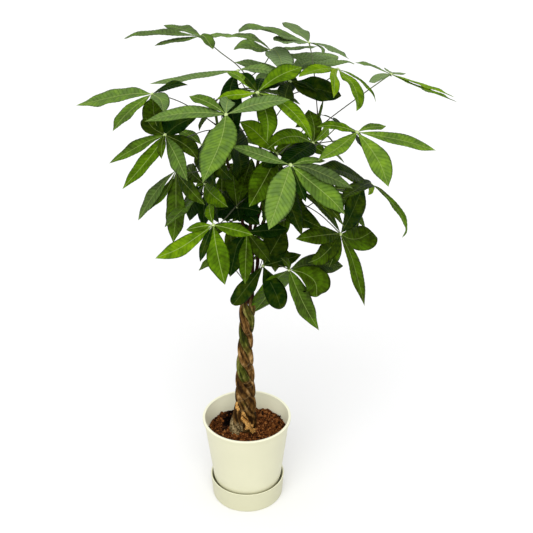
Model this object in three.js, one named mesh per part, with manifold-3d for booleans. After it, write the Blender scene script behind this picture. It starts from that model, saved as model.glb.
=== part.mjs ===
// Potted money tree: three braided stems with palmate leaves, standing in a pot on its own saucer.
// Millimetres. +X is to the right, +Y away from the viewer, +Z up.
// The origin is on the pot's axis, on the surface that the saucer stands on.

import * as THREE from 'three';
import { mergeVertices } from 'three/addons/utils/BufferGeometryUtils.js';
import Module from 'manifold-3d';

const wasm = await Module();
wasm.setup();

// Driving sizes of the pot and its saucer
const POT_TOP = 263;
const RIM_RADIUS = 124;
const LIP_HEIGHT = 7;
const LIP_STEP = 4;
const POT_WALL = 3;
const POT_FLOOR = 4;
const WAIST_HEIGHT = 70;
const WAIST_RADIUS = 99;
const FOOT_HEIGHT = 44;
const FOOT_RADIUS = 90;
const SAUCER_HEIGHT = 65;
const SAUCER_RIM_RADIUS = 106;
const SAUCER_BASE_RADIUS = 101;
const SAUCER_WALL = 3;
const EDGE_ROUND = 1.5;
const FOOT_ROUND = 3;
const WAIST_ROUND = 12;
const SAUCER_ROUND = 4;
const TURNED_SIDES = 32;
const SEAT_GAP = 0.3;

// Driving sizes of the soil
const SOIL_LEVEL = 210;
const SOIL_RELIEF = 2.5;
const SOIL_EDGE_DROP = 8;
const SOIL_MOUND = { x: 62, y: 40, height: 8, spread: 30 };
const SOIL_PIT = { x: -52, y: 14, height: -24, spread: 12.6 };
const SOIL_RINGS = [0.93, 0.72, 0.52, 0.32];
const STEM_DEPTH_IN_SOIL = 60;
const STEM_HOLE_SIDES = 16;

// Driving sizes of the braid
const BRAID_TOP = 628;
const BRAID_PERIOD = 150;
const BRAID_TURN = 30;
const BRAID_START = 200;
const STRANDS = 3;
const STRAND_SIDES = 7;
const STRAND_STEP = 12.5;
const STRAND_CREASE = 2;
const STRAND_RADIUS = 0.27;
const STRAND_END_SHARE = 0.8;
const BRAID_SWING = 0.22;
const BRAID_DEPTH = 0.16;
const SHOOT_START = 12;
const SHOOT_STEPS = 12;
const SHOOT_SIDES = 5;
const END_SHARE = 0.1;

// Width of the braid at a few heights: [height, width, axis offset along X]
const BRAID_WIDTHS = [[150, 62, -3], [230, 64, -4], [300, 56, -6], [400, 51, -8], [480, 43, -5], [540, 38, -2],
  [600, 41, 2], [640, 41, 3]];

// Driving sizes of the leaves. Stations are shares of a leaflet's length and of its greatest width.
const PETIOLE_RADIUS = 2.4;
const PETIOLE_BASE_RADIUS = 2.9;
const PETIOLE_OUTWARD = 0.25;
const PETIOLE_RISE = 0.2;
const PETIOLE_RETURN = 0.3;
const PETIOLE_STEPS = 4;
const PETIOLE_SIDES = 4;
const HUB_RADIUS = 6;
const ROOT_SINK = 3;
const ROOT_HALF_WIDTH = 1.3;
const RIB_THICKNESS = 2.2;
const LEAFLET_MIN = 70;
const LEAFLET_MAX = 200;
const LONG_LEAFLET = 160;
const LEAFLET_ARCH = 0.1;
const LEAFLET_FOLD = 0.12;
const LONG_STATIONS = [[0.3, 0.64], [0.58, 1], [0.84, 0.62]];
const SHORT_STATIONS = [[0.38, 0.84], [0.76, 0.84]];
const FAN_SPREAD = 250;
const FAN_DROOP = 0.12;
const FAN_SLIMNESS = 0.38;
const FAN_SHORTEST = 0.28;

// The viewer: where the photograph was taken from, and its size in pixels.
// Seen leaves and shoots lie on the sight lines of their pixels.
const EYE = new THREE.Vector3(55.4, -2029, 1745);
const PITCH = 26.56;
const FOCAL_PIXELS = 880;
const PHOTO_CENTRE = 266.5;

const RADIANS = Math.PI / 180;

const BARK = new THREE.MeshStandardMaterial({ color: 0x6f5a34, roughness: 0.85, metalness: 0 });
const LEAF = new THREE.MeshStandardMaterial({ color: 0x4f7d22, roughness: 0.5, metalness: 0 });
const CREAM = new THREE.MeshStandardMaterial({ color: 0xeae6cd, roughness: 0.45, metalness: 0 });
const EARTH = new THREE.MeshStandardMaterial({ color: 0x5f3519, roughness: 0.95, metalness: 0 });

// Shoots above the braid: photo pixels and depth along Y of the points each one passes, and its strand
const SHOOTS = {
  front: { strand: 0, radius: [5, 3.4], path: [[249, 303, 0], [252.5, 262, -4], [250.5, 225, -8], [253, 190, -8],
    [260, 150, 0], [262, 125, 6], [262.5, 95, 10]] },
  right: { strand: 1, radius: [5, 3.4], path: [[253, 302, 4], [257, 268, 8], [258.5, 238, 12], [272, 204, 16],
    [297, 172, 20], [312, 148, 20], [316, 128, 20], [318, 110, 22]] },
  left: { strand: 2, radius: [5, 3.4], path: [[248, 300, 12], [247.5, 265, 26], [243, 225, 45], [234, 185, 62],
    [224, 150, 76], [217, 122, 88], [214, 98, 96]] },
  back: { strand: 2, radius: [4.2, 3.2], path: [[247.5, 268, 25], [253, 235, 52], [263, 200, 82], [276, 160, 108],
    [284, 128, 124], [288, 100, 132]] },
};

// Leaves that the photograph shows: hub pixel and depth, the way the leaf faces
// [azimuth, tilt from upright], the shoot and height its petiole grows from,
// and its leaflets as [tip pixel x, tip pixel y, width over length].
const SEEN_LEAVES = {
  top_left: { hub: [201, 36], depth: 20, facing: [-150, 15], grows: ['front', 1165],
    tips: [[123, 39, 0.34], [154, 46, 0.36], [167, 25, 0.4], [213.5, 49.5, 0.45], [226, 36, 0.4]] },
  top_middle: { hub: [271, 50], depth: 80, facing: [-30, 10], grows: ['left', 1140],
    tips: [[228, 35.5, 0.3], [233.5, 50, 0.42], [284, 72, 0.42], [318, 46.5, 0.34], [338, 55, 0.38]] },
  top_right: { hub: [309, 42.5], depth: 60, facing: [0, 15], grows: ['right', 1120],
    tips: [[285, 22.5, 0.36], [238.5, 32.5, 0.34], [275, 38, 0.36], [347, 57, 0.34], [322, 54, 0.38]] },
  crown_back: { hub: [287, 72], depth: 110, facing: [-45, 10], grows: ['back', 1120],
    tips: [[235, 61, 0.34], [338, 56, 0.4], [355, 64, 0.34], [255, 80, 0.4], [300, 92, 0.4]] },
  young_right: { hub: [338, 69], depth: 20, facing: [-30, 30], grows: ['back', 1140],
    tips: [[357, 111, 0.3], [333.5, 97.5, 0.34], [376, 102.5, 0.28], [315, 72, 0.34]] },
  far_right: { hub: [391, 74], depth: 0, facing: [15, 15], grows: ['right', 1090],
    tips: [[355, 62.5, 0.3], [386, 68.5, 0.36], [406, 73.5, 0.36], [454.5, 96.5, 0.2], [457, 102, 0.2],
      [375, 83.5, 0.34]] },
  crown_dark: { hub: [290, 81], depth: -15, facing: [-30, 25], grows: ['front', 1150],
    tips: [[341.5, 96, 0.5], [291, 106, 0.42], [322, 106, 0.36]] },
  crown_bright: { hub: [257.5, 92.5], depth: -120, facing: [-90, 30], grows: ['front', 1120],
    tips: [[302, 67, 0.42], [226, 71.5, 0.36], [216.5, 99, 0.34], [240, 73, 0.36], [266.5, 141, 0.34],
      [312.5, 142, 0.26]] },
  front_left: { hub: [226, 114.5], depth: -200, facing: [-105, 30], grows: ['front', 1070],
    tips: [[144.5, 121.5, 0.3], [189, 96, 0.36], [229, 98, 0.4], [290, 99, 0.3], [202.5, 183, 0.46],
      [250, 160, 0.36]] },
  far_left: { hub: [152, 94], depth: -60, facing: [-150, 30], grows: ['left', 1080],
    tips: [[76, 105.5, 0.28], [112, 131, 0.32], [163.5, 112, 0.44], [188, 85, 0.3]] },
  crown_left: { hub: [238, 70.5], depth: -20, facing: [-105, 20], grows: ['front', 1150],
    tips: [[148, 83, 0.3], [285, 76, 0.36], [231, 98, 0.4]] },
  left_upper: { hub: [165, 135], depth: -120, facing: [-120, 45], grows: ['left', 1060],
    tips: [[149, 103, 0.44], [109, 163.5, 0.3], [121.5, 190, 0.34], [187, 181, 0.36], [199.5, 161, 0.32],
      [200, 119, 0.34]] },
  left_lower: { hub: [176, 170], depth: -120, facing: [-135, 55], grows: ['left', 970],
    tips: [[137, 221, 0.26], [140, 208, 0.26], [174, 243, 0.3], [205, 205, 0.36]] },
  left_inner: { hub: [205, 184], depth: -60, facing: [-150, 65], grows: ['left', 880],
    tips: [[164, 228, 0.3], [189.5, 221, 0.36], [228, 207, 0.36], [187, 165, 0.36], [218, 167, 0.4]] },
  front_bright: { hub: [213.5, 225], depth: -220, facing: [-105, 55], grows: ['front', 920],
    tips: [[155, 258, 0.3], [224.5, 285, 0.4], [253, 235, 0.36], [209, 204, 0.46], [200, 263.5, 0.3],
      [186, 230, 0.36]] },
  front_middle: { hub: [290.5, 165], depth: -230, facing: [-75, 50], grows: ['right', 940],
    tips: [[268.5, 230, 0.48], [231, 146, 0.32], [344, 226, 0.4], [326, 161, 0.34], [353, 187, 0.3]] },
  right_lower: { hub: [371, 184], depth: -60, facing: [-15, 40], grows: ['right', 960],
    tips: [[401, 239, 0.3], [318, 164, 0.32], [368, 195, 0.4], [340, 200, 0.34]] },
  right_upper: { hub: [357, 132], depth: -120, facing: [-45, 45], grows: ['right', 1050],
    tips: [[317, 127, 0.32], [386, 125, 0.32], [436, 150, 0.26], [388.5, 187, 0.36], [319, 161, 0.34]] },
  right_big: { hub: [340.5, 234], depth: -120, facing: [-45, 60], grows: ['right', 850],
    tips: [[300, 190, 0.34], [365, 184, 0.36], [375, 238, 0.5], [365, 306, 0.28], [308, 263, 0.34],
      [295.5, 238, 0.34]] },
  low_right: { hub: [289, 269.5], depth: -160, facing: [-45, 65], grows: ['right', 720],
    tips: [[343.5, 266, 0.34], [312, 297.5, 0.5], [319, 330, 0.3], [272, 283, 0.4], [264, 268, 0.4]] },
  low_middle: { hub: [263, 266], depth: -60, facing: [-90, 65], grows: ['front', 700],
    tips: [[301.5, 254.5, 0.32], [281, 309, 0.46], [253, 313, 0.36], [233, 305, 0.44], [285, 228, 0.46]] },
  inner_left: { hub: [237, 208.5], depth: -60, facing: [-90, 40], grows: ['front', 860],
    tips: [[230, 170, 0.4], [208, 210, 0.4], [260, 225, 0.4], [240, 222, 0.4], [228, 220, 0.4]] },
  inner_middle: { hub: [277, 154], depth: -120, facing: [-60, 50], grows: ['right', 960],
    tips: [[249, 207, 0.42], [327, 229, 0.32], [262, 128, 0.4], [310, 170, 0.4]] },
  inner_low: { hub: [247, 232], depth: -100, facing: [-90, 65], grows: ['front', 800],
    tips: [[243, 284, 0.36], [233, 275, 0.32], [270, 262, 0.4], [275, 235, 0.4]] },
  inner_right: { hub: [313, 143], depth: -60, facing: [-30, 50], grows: ['right', 1040],
    tips: [[267, 149, 0.28], [308.5, 109.5, 0.32], [344.5, 163, 0.36], [336, 164, 0.36]] },
  inner_upper: { hub: [202, 145], depth: -20, facing: [-150, 50], grows: ['left', 1020],
    tips: [[177, 131, 0.36], [232, 175, 0.36], [232, 130, 0.4], [190, 175, 0.36]] },
};

// Leaves inside and behind the crown: [hub pixel x, hub pixel y, depth, azimuth and tilt it faces,
// shoot and height it grows from, length of its longest leaflet, number of leaflets]
const HIDDEN_LEAVES = [
  [225, 149, 90, 100, 45, 'left', 890, 130, 5],
  [300, 118, 70, -10, 25, 'front', 1030, 120, 5],
  [330, 190, 20, -25, 35, 'right', 840, 130, 5],
  [301, 216, 20, -20, 55, 'front', 800, 130, 5],
  [262, 190, -20, -50, 50, 'right', 890, 110, 5],
  [335, 240, 40, 35, 60, 'right', 710, 130, 5],
  [280, 245, 60, 55, 65, 'left', 660, 120, 5],
  [215, 110, 190, 155, 45, 'left', 1040, 150, 5],
  [258, 92, 230, 80, 30, 'back', 960, 150, 5],
  [302, 95, 230, 70, 25, 'back', 1080, 150, 5],
  [338, 125, 160, 15, 35, 'back', 950, 150, 5],
  [240, 140, 280, 120, 40, 'left', 880, 150, 5],
  [300, 148, 280, 65, 55, 'left', 865, 150, 5],
  [190, 190, 170, 145, 70, 'back', 780, 150, 5],
  [232, 205, 260, 125, 60, 'right', 690, 150, 5],
  [280, 205, 280, 40, 55, 'back', 740, 150, 5],
  [321, 210, 200, 15, 70, 'back', 750, 150, 5],
  [225, 255, 160, 110, 65, 'left', 670, 140, 5],
  [280, 259, 170, 85, 60, 'right', 700, 135, 5],
];

// A closed geometry from rings of points. All rings have the same number of points,
// apart from a single point that closes either end. Its faces are turned outwards.
function loft(rings) {
  const positions = [];
  const starts = [];
  rings.forEach((ring) => {
    starts.push(positions.length / 3);
    ring.forEach((point) => positions.push(point.x, point.y, point.z));
  });
  const faces = [];
  for (let i = 0; i + 1 < rings.length; i += 1) {
    const sides = Math.max(rings[i].length, rings[i + 1].length);
    for (let k = 0; k < sides; k += 1) {
      const next = (k + 1) % sides;
      const a = starts[i] + (rings[i].length > 1 ? k : 0);
      const b = starts[i] + (rings[i].length > 1 ? next : 0);
      const c = starts[i + 1] + (rings[i + 1].length > 1 ? k : 0);
      const d = starts[i + 1] + (rings[i + 1].length > 1 ? next : 0);
      const alike = k % 2 === 0 ? [[a, b, d], [a, d, c]] : [[a, b, c], [b, d, c]];
      alike.filter(([p, q, r]) => p !== q && q !== r && p !== r).forEach((face) => faces.push(...face));
    }
  }
  const last = rings.length - 1;
  for (let k = 1; k + 1 < rings[0].length; k += 1) faces.push(starts[0], starts[0] + k + 1, starts[0] + k);
  for (let k = 1; k + 1 < rings[last].length; k += 1) faces.push(starts[last], starts[last] + k, starts[last] + k + 1);
  const geometry = new THREE.BufferGeometry();
  geometry.setAttribute('position', new THREE.Float32BufferAttribute(positions, 3));
  geometry.setIndex(faces);
  return facingOut(geometry);
}

// The same geometry with its triangles turned round if it encloses a negative volume
function facingOut(geometry) {
  const place = geometry.getAttribute('position');
  const index = geometry.getIndex().array;
  const vertex = (k) => new THREE.Vector3().fromBufferAttribute(place, index[k]);
  let volume = 0;
  for (let k = 0; k < index.length; k += 3) volume += vertex(k).dot(vertex(k + 1).cross(vertex(k + 2)));
  if (volume < 0) {
    for (let k = 0; k < index.length; k += 3) [index[k + 1], index[k + 2]] = [index[k + 2], index[k + 1]];
  }
  return geometry;
}

function solid(geometry) {
  return new wasm.Manifold(new wasm.Mesh({
    numProp: 3,
    vertProperties: new Float32Array(geometry.getAttribute('position').array),
    triVerts: new Uint32Array(geometry.getIndex().array),
  }));
}

function geometryOf(body) {
  const mesh = body.getMesh();
  const geometry = new THREE.BufferGeometry();
  geometry.setAttribute('position', new THREE.BufferAttribute(mesh.vertProperties, 3));
  geometry.setIndex(new THREE.BufferAttribute(mesh.triVerts, 1));
  return geometry;
}

function joined(bodies) {
  return bodies.reduce((whole, body) => whole.add(body));
}

// A turned piece, from its outline as [radius, height] points that start and end on the axis or close
function turned(outline) {
  const points = outline.map(([radius, height]) => new THREE.Vector2(radius, height));
  const geometry = new THREE.LatheGeometry(points, TURNED_SIDES);
  geometry.rotateX(Math.PI / 2);
  geometry.deleteAttribute('normal');
  geometry.deleteAttribute('uv');
  return facingOut(mergeVertices(geometry, 0.001));
}

// Quarter-round corner points about a centre, from one angle to another, in degrees
function corner(centreRadius, centreHeight, radius, from, to, steps = 3) {
  return Array.from({ length: steps + 1 }, (_, k) => {
    const angle = (from + (to - from) * k / steps) * RADIANS;
    return [centreRadius + radius * Math.cos(angle), centreHeight + radius * Math.sin(angle)];
  });
}

// The saucer is a shallow round tray with a rounded foot and a plain rim
function saucerOutline() {
  const edge = EDGE_ROUND / 2;
  return [
    [0, 0],
    ...corner(SAUCER_BASE_RADIUS - SAUCER_ROUND, SAUCER_ROUND, SAUCER_ROUND, -90, 0),
    [SAUCER_RIM_RADIUS, SAUCER_HEIGHT - edge],
    [SAUCER_RIM_RADIUS - edge, SAUCER_HEIGHT],
    [SAUCER_RIM_RADIUS - SAUCER_WALL + edge, SAUCER_HEIGHT],
    [SAUCER_RIM_RADIUS - SAUCER_WALL, SAUCER_HEIGHT - edge],
    [SAUCER_BASE_RADIUS - SAUCER_WALL, SAUCER_WALL + SAUCER_ROUND],
    [SAUCER_BASE_RADIUS - SAUCER_WALL - SAUCER_ROUND, SAUCER_WALL],
    [0, SAUCER_WALL],
  ];
}

const POT_BOTTOM = SAUCER_WALL + SEAT_GAP;
const SOIL_BOTTOM = POT_BOTTOM + POT_FLOOR + SEAT_GAP;

// The pot widens from a narrow foot, over a rounded waist, to its rim with a low lip
function potOutline() {
  const neck = POT_TOP - LIP_HEIGHT;
  const outer = RIM_RADIUS - LIP_STEP;
  const inner = outer - POT_WALL;
  return [
    [0, POT_BOTTOM],
    [FOOT_RADIUS - FOOT_ROUND, POT_BOTTOM],
    [FOOT_RADIUS, POT_BOTTOM + FOOT_ROUND],
    [FOOT_RADIUS, FOOT_HEIGHT],
    ...corner(WAIST_RADIUS - WAIST_ROUND, WAIST_HEIGHT - WAIST_ROUND * 0.7, WAIST_ROUND, -55, -5),
    [outer, neck],
    [RIM_RADIUS, neck],
    [RIM_RADIUS, POT_TOP - EDGE_ROUND],
    [RIM_RADIUS - EDGE_ROUND, POT_TOP],
    [inner + EDGE_ROUND, POT_TOP],
    [inner, POT_TOP - EDGE_ROUND],
    ...potInside(),
    [0, POT_BOTTOM + POT_FLOOR],
  ];
}

// Inner wall of the pot, from the rim down, as [radius, height]
function potInside() {
  return [
    [RIM_RADIUS - LIP_STEP - POT_WALL, POT_TOP - LIP_HEIGHT],
    [WAIST_RADIUS - POT_WALL, WAIST_HEIGHT],
    [FOOT_RADIUS - POT_WALL, FOOT_HEIGHT + POT_WALL],
    [FOOT_RADIUS - POT_WALL, POT_BOTTOM + POT_FLOOR],
  ];
}

// Height of the soil's surface: coarse bark and peat, mounded at the right, with a pit left of the stems
function soilHeight(x, y) {
  const lumps = Math.sin(x / 9 + 1.3 * Math.sin(y / 13)) * Math.cos(y / 8 - 0.9 * Math.sin(x / 11));
  const [mound, pit] = [SOIL_MOUND, SOIL_PIT].map((bump) => {
    const squared = (x - bump.x) ** 2 + (y - bump.y) ** 2;
    return bump.height * Math.exp(-squared / (2 * bump.spread ** 2));
  });
  return SOIL_LEVEL + SOIL_RELIEF * lumps + mound + pit;
}

function soilGeometry() {
  const wall = potInside();
  const rimRadius = (height) => {
    const [top, waist] = wall;
    const share = (height - waist[1]) / (top[1] - waist[1]);
    return waist[0] + (top[0] - waist[0]) * share - SEAT_GAP;
  };
  const ringAt = (radius, height) => Array.from({ length: TURNED_SIDES }, (_, k) => {
    const angle = k / TURNED_SIDES * 2 * Math.PI;
    const x = radius * Math.sin(angle);
    const y = radius * Math.cos(angle);
    return new THREE.Vector3(x, y, height ?? soilHeight(x, y));
  });
  const edge = SOIL_LEVEL - SOIL_EDGE_DROP;
  const below = wall.slice(1).reverse().map(([radius, height]) => {
    const raised = height === POT_BOTTOM + POT_FLOOR ? SOIL_BOTTOM : height;
    return ringAt(radius - SEAT_GAP, raised);
  });
  const above = SOIL_RINGS.map((share) => ringAt(rimRadius(edge) * share));
  return loft([[new THREE.Vector3(0, 0, SOIL_BOTTOM)], ...below, ringAt(rimRadius(edge), edge), ...above,
    [new THREE.Vector3(0, 0, soilHeight(0, 0))]]);
}

const STEM_BOTTOM = SOIL_LEVEL - STEM_DEPTH_IN_SOIL;

// The plain round hole that the braid stands in, just wide enough for its widest section in the soil
function stemHole() {
  const top = SOIL_LEVEL + STRAND_STEP;
  const middle = new THREE.Vector2(between(BRAID_WIDTHS, SOIL_LEVEL, 2), 0);
  let reach = 0;
  for (let height = STEM_BOTTOM; height <= top; height += 1) {
    for (let strand = 0; strand < STRANDS; strand += 1) {
      const radius = STRAND_RADIUS * between(BRAID_WIDTHS, height, 1);
      reach = Math.max(reach, strandCentre(strand, height).distanceTo(middle) + radius);
    }
  }
  const radius = (reach + SEAT_GAP) / Math.cos(Math.PI / STEM_HOLE_SIDES);
  const ring = (height) => Array.from({ length: STEM_HOLE_SIDES }, (_, k) => {
    const angle = k / STEM_HOLE_SIDES * 2 * Math.PI;
    return new THREE.Vector3(middle.x + radius * Math.cos(angle), middle.y + radius * Math.sin(angle), height);
  });
  return solid(loft([ring(STEM_BOTTOM - SEAT_GAP), ring(POT_TOP)]));
}

// Value at a height in a list of [height, value, value] rows, by straight lines between them
function between(rows, height, column) {
  const above = rows.findIndex((row) => row[0] >= height);
  if (above === 0) return rows[0][column];
  if (above < 0) return rows[rows.length - 1][column];
  const [low, high] = [rows[above - 1], rows[above]];
  return low[column] + (high[column] - low[column]) * (height - low[0]) / (high[0] - low[0]);
}

// Axis of one strand of a three-strand braid: it swings across as a sine and in depth at twice the rate
function strandCentre(strand, height) {
  const width = between(BRAID_WIDTHS, height, 1);
  const phase = -2 * Math.PI * ((height - BRAID_START) / BRAID_PERIOD + strand / STRANDS);
  const across = BRAID_SWING * width * Math.sin(phase);
  const depth = BRAID_DEPTH * width * Math.sin(2 * phase);
  const turn = BRAID_TURN * RADIANS;
  return new THREE.Vector2(
    across * Math.cos(turn) - depth * Math.sin(turn) + between(BRAID_WIDTHS, height, 2),
    across * Math.sin(turn) + depth * Math.cos(turn),
  );
}

// Level section of a strand: a circle, flattened where it is pressed against the other strands
function strandSection(strand, height, shrink, grow) {
  const centre = strandCentre(strand, height);
  const radius = STRAND_RADIUS * between(BRAID_WIDTHS, height, 1) * shrink + grow;
  const others = [1, 2].map((step) => strandCentre((strand + step) % STRANDS, height).sub(centre));
  return Array.from({ length: STRAND_SIDES }, (_, k) => {
    const angle = k / STRAND_SIDES * 2 * Math.PI;
    const way = new THREE.Vector2(Math.cos(angle), Math.sin(angle));
    const limits = others.map((other) => {
      const toward = way.dot(other) / other.length();
      return toward > 0.01 ? (other.length() / 2 - STRAND_CREASE) * shrink / toward + grow : radius;
    });
    const reach = Math.min(radius, ...limits);
    return new THREE.Vector3(centre.x + way.x * reach, centre.y + way.y * reach, height);
  });
}

function strandGeometry(strand, grow) {
  const steps = Math.round((BRAID_TOP - STEM_BOTTOM) / STRAND_STEP);
  const rings = Array.from({ length: steps + 1 }, (_, k) => {
    const height = STEM_BOTTOM + (BRAID_TOP - STEM_BOTTOM) * k / steps;
    const isEnd = k === 0 || k === steps;
    return strandSection(strand, height, isEnd ? STRAND_END_SHARE : 1, grow);
  });
  return loft(rings);
}

// Point that lies at a given depth on the sight line of a photo pixel
function onSightLine([u, v], depth) {
  const line = sightLine([u, v]);
  return EYE.clone().addScaledVector(line, (depth - EYE.y) / line.y);
}

function sightLine([u, v]) {
  const pitch = PITCH * RADIANS;
  const forward = new THREE.Vector3(0, Math.cos(pitch), -Math.sin(pitch));
  const up = new THREE.Vector3(0, Math.sin(pitch), Math.cos(pitch));
  return forward
    .add(new THREE.Vector3((u - PHOTO_CENTRE) / FOCAL_PIXELS, 0, 0))
    .addScaledVector(up, (PHOTO_CENTRE - v) / FOCAL_PIXELS)
    .normalize();
}

// A round stem along a curve that thins from its first radius to its last, with few sides.
// Its first end is square to the curve, or flat against what it grows from.
function taperedTube(curve, steps, sides, [first, last], seat) {
  const frames = curve.computeFrenetFrames(steps, false);
  const rings = Array.from({ length: steps + 1 }, (_, k) => {
    const centre = curve.getPointAt(k / steps);
    const radius = first + (last - first) * k / steps;
    return Array.from({ length: sides }, (__, side) => {
      const angle = side / sides * 2 * Math.PI;
      const spoke = frames.normals[k].clone().multiplyScalar(radius * Math.cos(angle))
        .addScaledVector(frames.binormals[k], radius * Math.sin(angle));
      if (k === 0 && seat) spoke.addScaledVector(frames.tangents[k], -spoke.dot(seat) / frames.tangents[k].dot(seat));
      return centre.clone().add(spoke);
    });
  });
  return loft(rings);
}

// Each strand runs on into its first shoot; a second shoot of the same strand branches from the first
const SHOOT_CURVES = Object.fromEntries(Object.entries(SHOOTS).map(([name, { strand, path }]) => {
  const points = path.map(([u, v, depth]) => onSightLine([u, v], depth));
  const isFirst = Object.keys(SHOOTS).find((other) => SHOOTS[other].strand === strand) === name;
  if (isFirst) {
    const start = strandCentre(strand, BRAID_TOP - SHOOT_START);
    points[0].set(start.x, start.y, BRAID_TOP - SHOOT_START);
  }
  return [name, new THREE.CatmullRomCurve3(points, false, 'centripetal')];
}));

function shootGeometry(name, grow = 0) {
  const radii = SHOOTS[name].radius.map((radius) => radius + grow);
  return taperedTube(SHOOT_CURVES[name], SHOOT_STEPS, SHOOT_SIDES, radii);
}

// One stem: a strand of the braid with the shoots that grow on from it
function stemSolid(strand, grow = 0) {
  const shoots = Object.entries(SHOOTS).filter(([, shoot]) => shoot.strand === strand);
  const bodies = shoots.map(([name]) => solid(shootGeometry(name, grow)));
  return joined([solid(strandGeometry(strand, grow)), ...bodies]);
}

// Unit direction from an azimuth and a tilt from upright, in degrees
function direction(azimuth, tilt) {
  const level = Math.sin(tilt * RADIANS);
  return new THREE.Vector3(
    level * Math.cos(azimuth * RADIANS),
    level * Math.sin(azimuth * RADIANS),
    Math.cos(tilt * RADIANS),
  );
}

// Tip of a leaflet: where the sight line of its pixel meets the leaf's plane,
// kept within the lengths that such leaflets have
function seenTip(hub, pixel, facing) {
  const line = sightLine(pixel);
  const nearest = hub.clone().sub(EYE).dot(line);
  const onPlane = hub.clone().sub(EYE).dot(facing) / line.dot(facing);
  const length = EYE.clone().addScaledVector(line, onPlane).distanceTo(hub);
  const wanted = Math.min(Math.max(length, LEAFLET_MIN), LEAFLET_MAX);
  if (wanted === length) return EYE.clone().addScaledVector(line, onPlane);
  const closest = EYE.clone().addScaledVector(line, nearest).distanceTo(hub);
  const offset = closest < wanted ? Math.sqrt(wanted ** 2 - closest ** 2) : 0;
  return EYE.clone().addScaledVector(line, nearest + offset * Math.sign(onPlane - nearest));
}

// Height of a curved piece of leaf above the straight line from hub to tip
function archAt(share) {
  return Math.sin(Math.PI * share ** 0.85);
}

// A leaflet: a slim blade, widest past its middle, folded a little along its rib and arched.
// Its section is a flat diamond whose upper and lower faces are split alike.
function leafletGeometry(hub, tip, facing, slimness) {
  const along = tip.clone().sub(hub);
  const length = along.length();
  along.normalize();
  const up = facing.clone().addScaledVector(along, -facing.dot(along)).normalize();
  const side = along.clone().cross(up);
  const stations = length > LONG_LEAFLET ? LONG_STATIONS : SHORT_STATIONS;
  const section = (share, half, thickness) => {
    const centre = hub.clone()
      .addScaledVector(along, length * share)
      .addScaledVector(up, length * LEAFLET_ARCH * archAt(share));
    const lift = half * LEAFLET_FOLD;
    return [
      centre.clone().addScaledVector(side, -half).addScaledVector(up, lift),
      centre.clone().addScaledVector(up, thickness / 2),
      centre.clone().addScaledVector(side, half).addScaledVector(up, lift),
      centre.clone().addScaledVector(up, -thickness / 2),
    ];
  };
  return loft([
    section(ROOT_SINK / length, ROOT_HALF_WIDTH, RIB_THICKNESS),
    ...stations.map(([share, width]) => section(share, slimness * length / 2 * width, RIB_THICKNESS)),
    [tip],
  ]);
}

function knob(centre, radius) {
  const geometry = new THREE.OctahedronGeometry(radius, 0);
  geometry.translate(centre.x, centre.y, centre.z);
  geometry.deleteAttribute('normal');
  geometry.deleteAttribute('uv');
  return mergeVertices(geometry, 0.001);
}

// Seat of a petiole on a shoot at a given height, on the side of a hub: a point just off
// the face of the shoot that it grows from, with the way out from that face
function budOn(name, height, hub) {
  const points = Array.from({ length: SHOOT_STEPS + 1 }, (_, k) => SHOOT_CURVES[name].getPointAt(k / SHOOT_STEPS));
  const above = points.findIndex((point, k) => k > 0 && point.z > height);
  const last = above > 0 ? above : SHOOT_STEPS;
  const [low, high] = [points[last - 1], points[last]];
  const share = Math.min(Math.max((height - low.z) / (high.z - low.z), END_SHARE), 1 - END_SHARE);
  const centre = low.clone().lerp(high, share);
  const along = high.clone().sub(low).normalize();
  const outward = hub.clone().sub(centre);
  outward.addScaledVector(along, -outward.dot(along)).normalize();
  const shoot = new THREE.Mesh(shootGeometry(name), new THREE.MeshBasicMaterial({ side: THREE.DoubleSide }));
  const [hit] = new THREE.Raycaster(centre, outward).intersectObject(shoot);
  const normal = hit.face.normal.clone().multiplyScalar(Math.sign(hit.face.normal.dot(outward)));
  return { root: hit.point.addScaledVector(normal, SEAT_GAP), outward: normal };
}

// The petiole leaves its shoot outwards and up, and comes to the hub from behind the leaf
function petioleCurve({ root, outward }, hub, facing) {
  const span = hub.distanceTo(root);
  return new THREE.CubicBezierCurve3(
    root,
    root.clone().addScaledVector(outward, span * PETIOLE_OUTWARD).add(new THREE.Vector3(0, 0, span * PETIOLE_RISE)),
    hub.clone().addScaledVector(facing, -span * PETIOLE_RETURN),
    hub,
  );
}

// A leaf: its petiole, the hub and the leaflets that spread from it, grown as one
function leafSolid(hub, facing, leaflets, bud) {
  const radii = [PETIOLE_BASE_RADIUS, PETIOLE_RADIUS];
  const petiole = taperedTube(petioleCurve(bud, hub, facing), PETIOLE_STEPS, PETIOLE_SIDES, radii, bud.outward);
  return joined([
    solid(knob(hub, HUB_RADIUS)),
    solid(petiole),
    ...leaflets.map(({ tip, slimness }) => solid(leafletGeometry(hub, tip, facing, slimness))),
  ]);
}

// Leaflets of a leaf that is placed by rule: a fan about the way the leaf faces,
// longest straight out and down, with its gap over the petiole
function fannedLeaflets(hub, facing, azimuth, tilt, reach, count) {
  const outward = direction(azimuth, tilt + 90);
  const across = facing.clone().cross(outward);
  return Array.from({ length: count }, (_, k) => {
    const angle = (k / (count - 1) - 0.5) * FAN_SPREAD * RADIANS;
    const length = reach * (FAN_SHORTEST + (1 - FAN_SHORTEST) * (1 + Math.cos(angle)) / 2);
    const tip = hub.clone()
      .addScaledVector(outward, length * Math.cos(angle))
      .addScaledVector(across, length * Math.sin(angle))
      .addScaledVector(facing, -length * FAN_DROOP);
    return { tip, slimness: FAN_SLIMNESS };
  });
}

function named(name, geometry, material) {
  const mesh = new THREE.Mesh(geometry, material);
  mesh.name = name;
  return mesh;
}

const tree = new THREE.Group();
tree.add(named('saucer', turned(saucerOutline()), CREAM));
tree.add(named('pot', turned(potOutline()), CREAM));

tree.add(named('soil', geometryOf(solid(soilGeometry()).subtract(stemHole())), EARTH));

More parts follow.
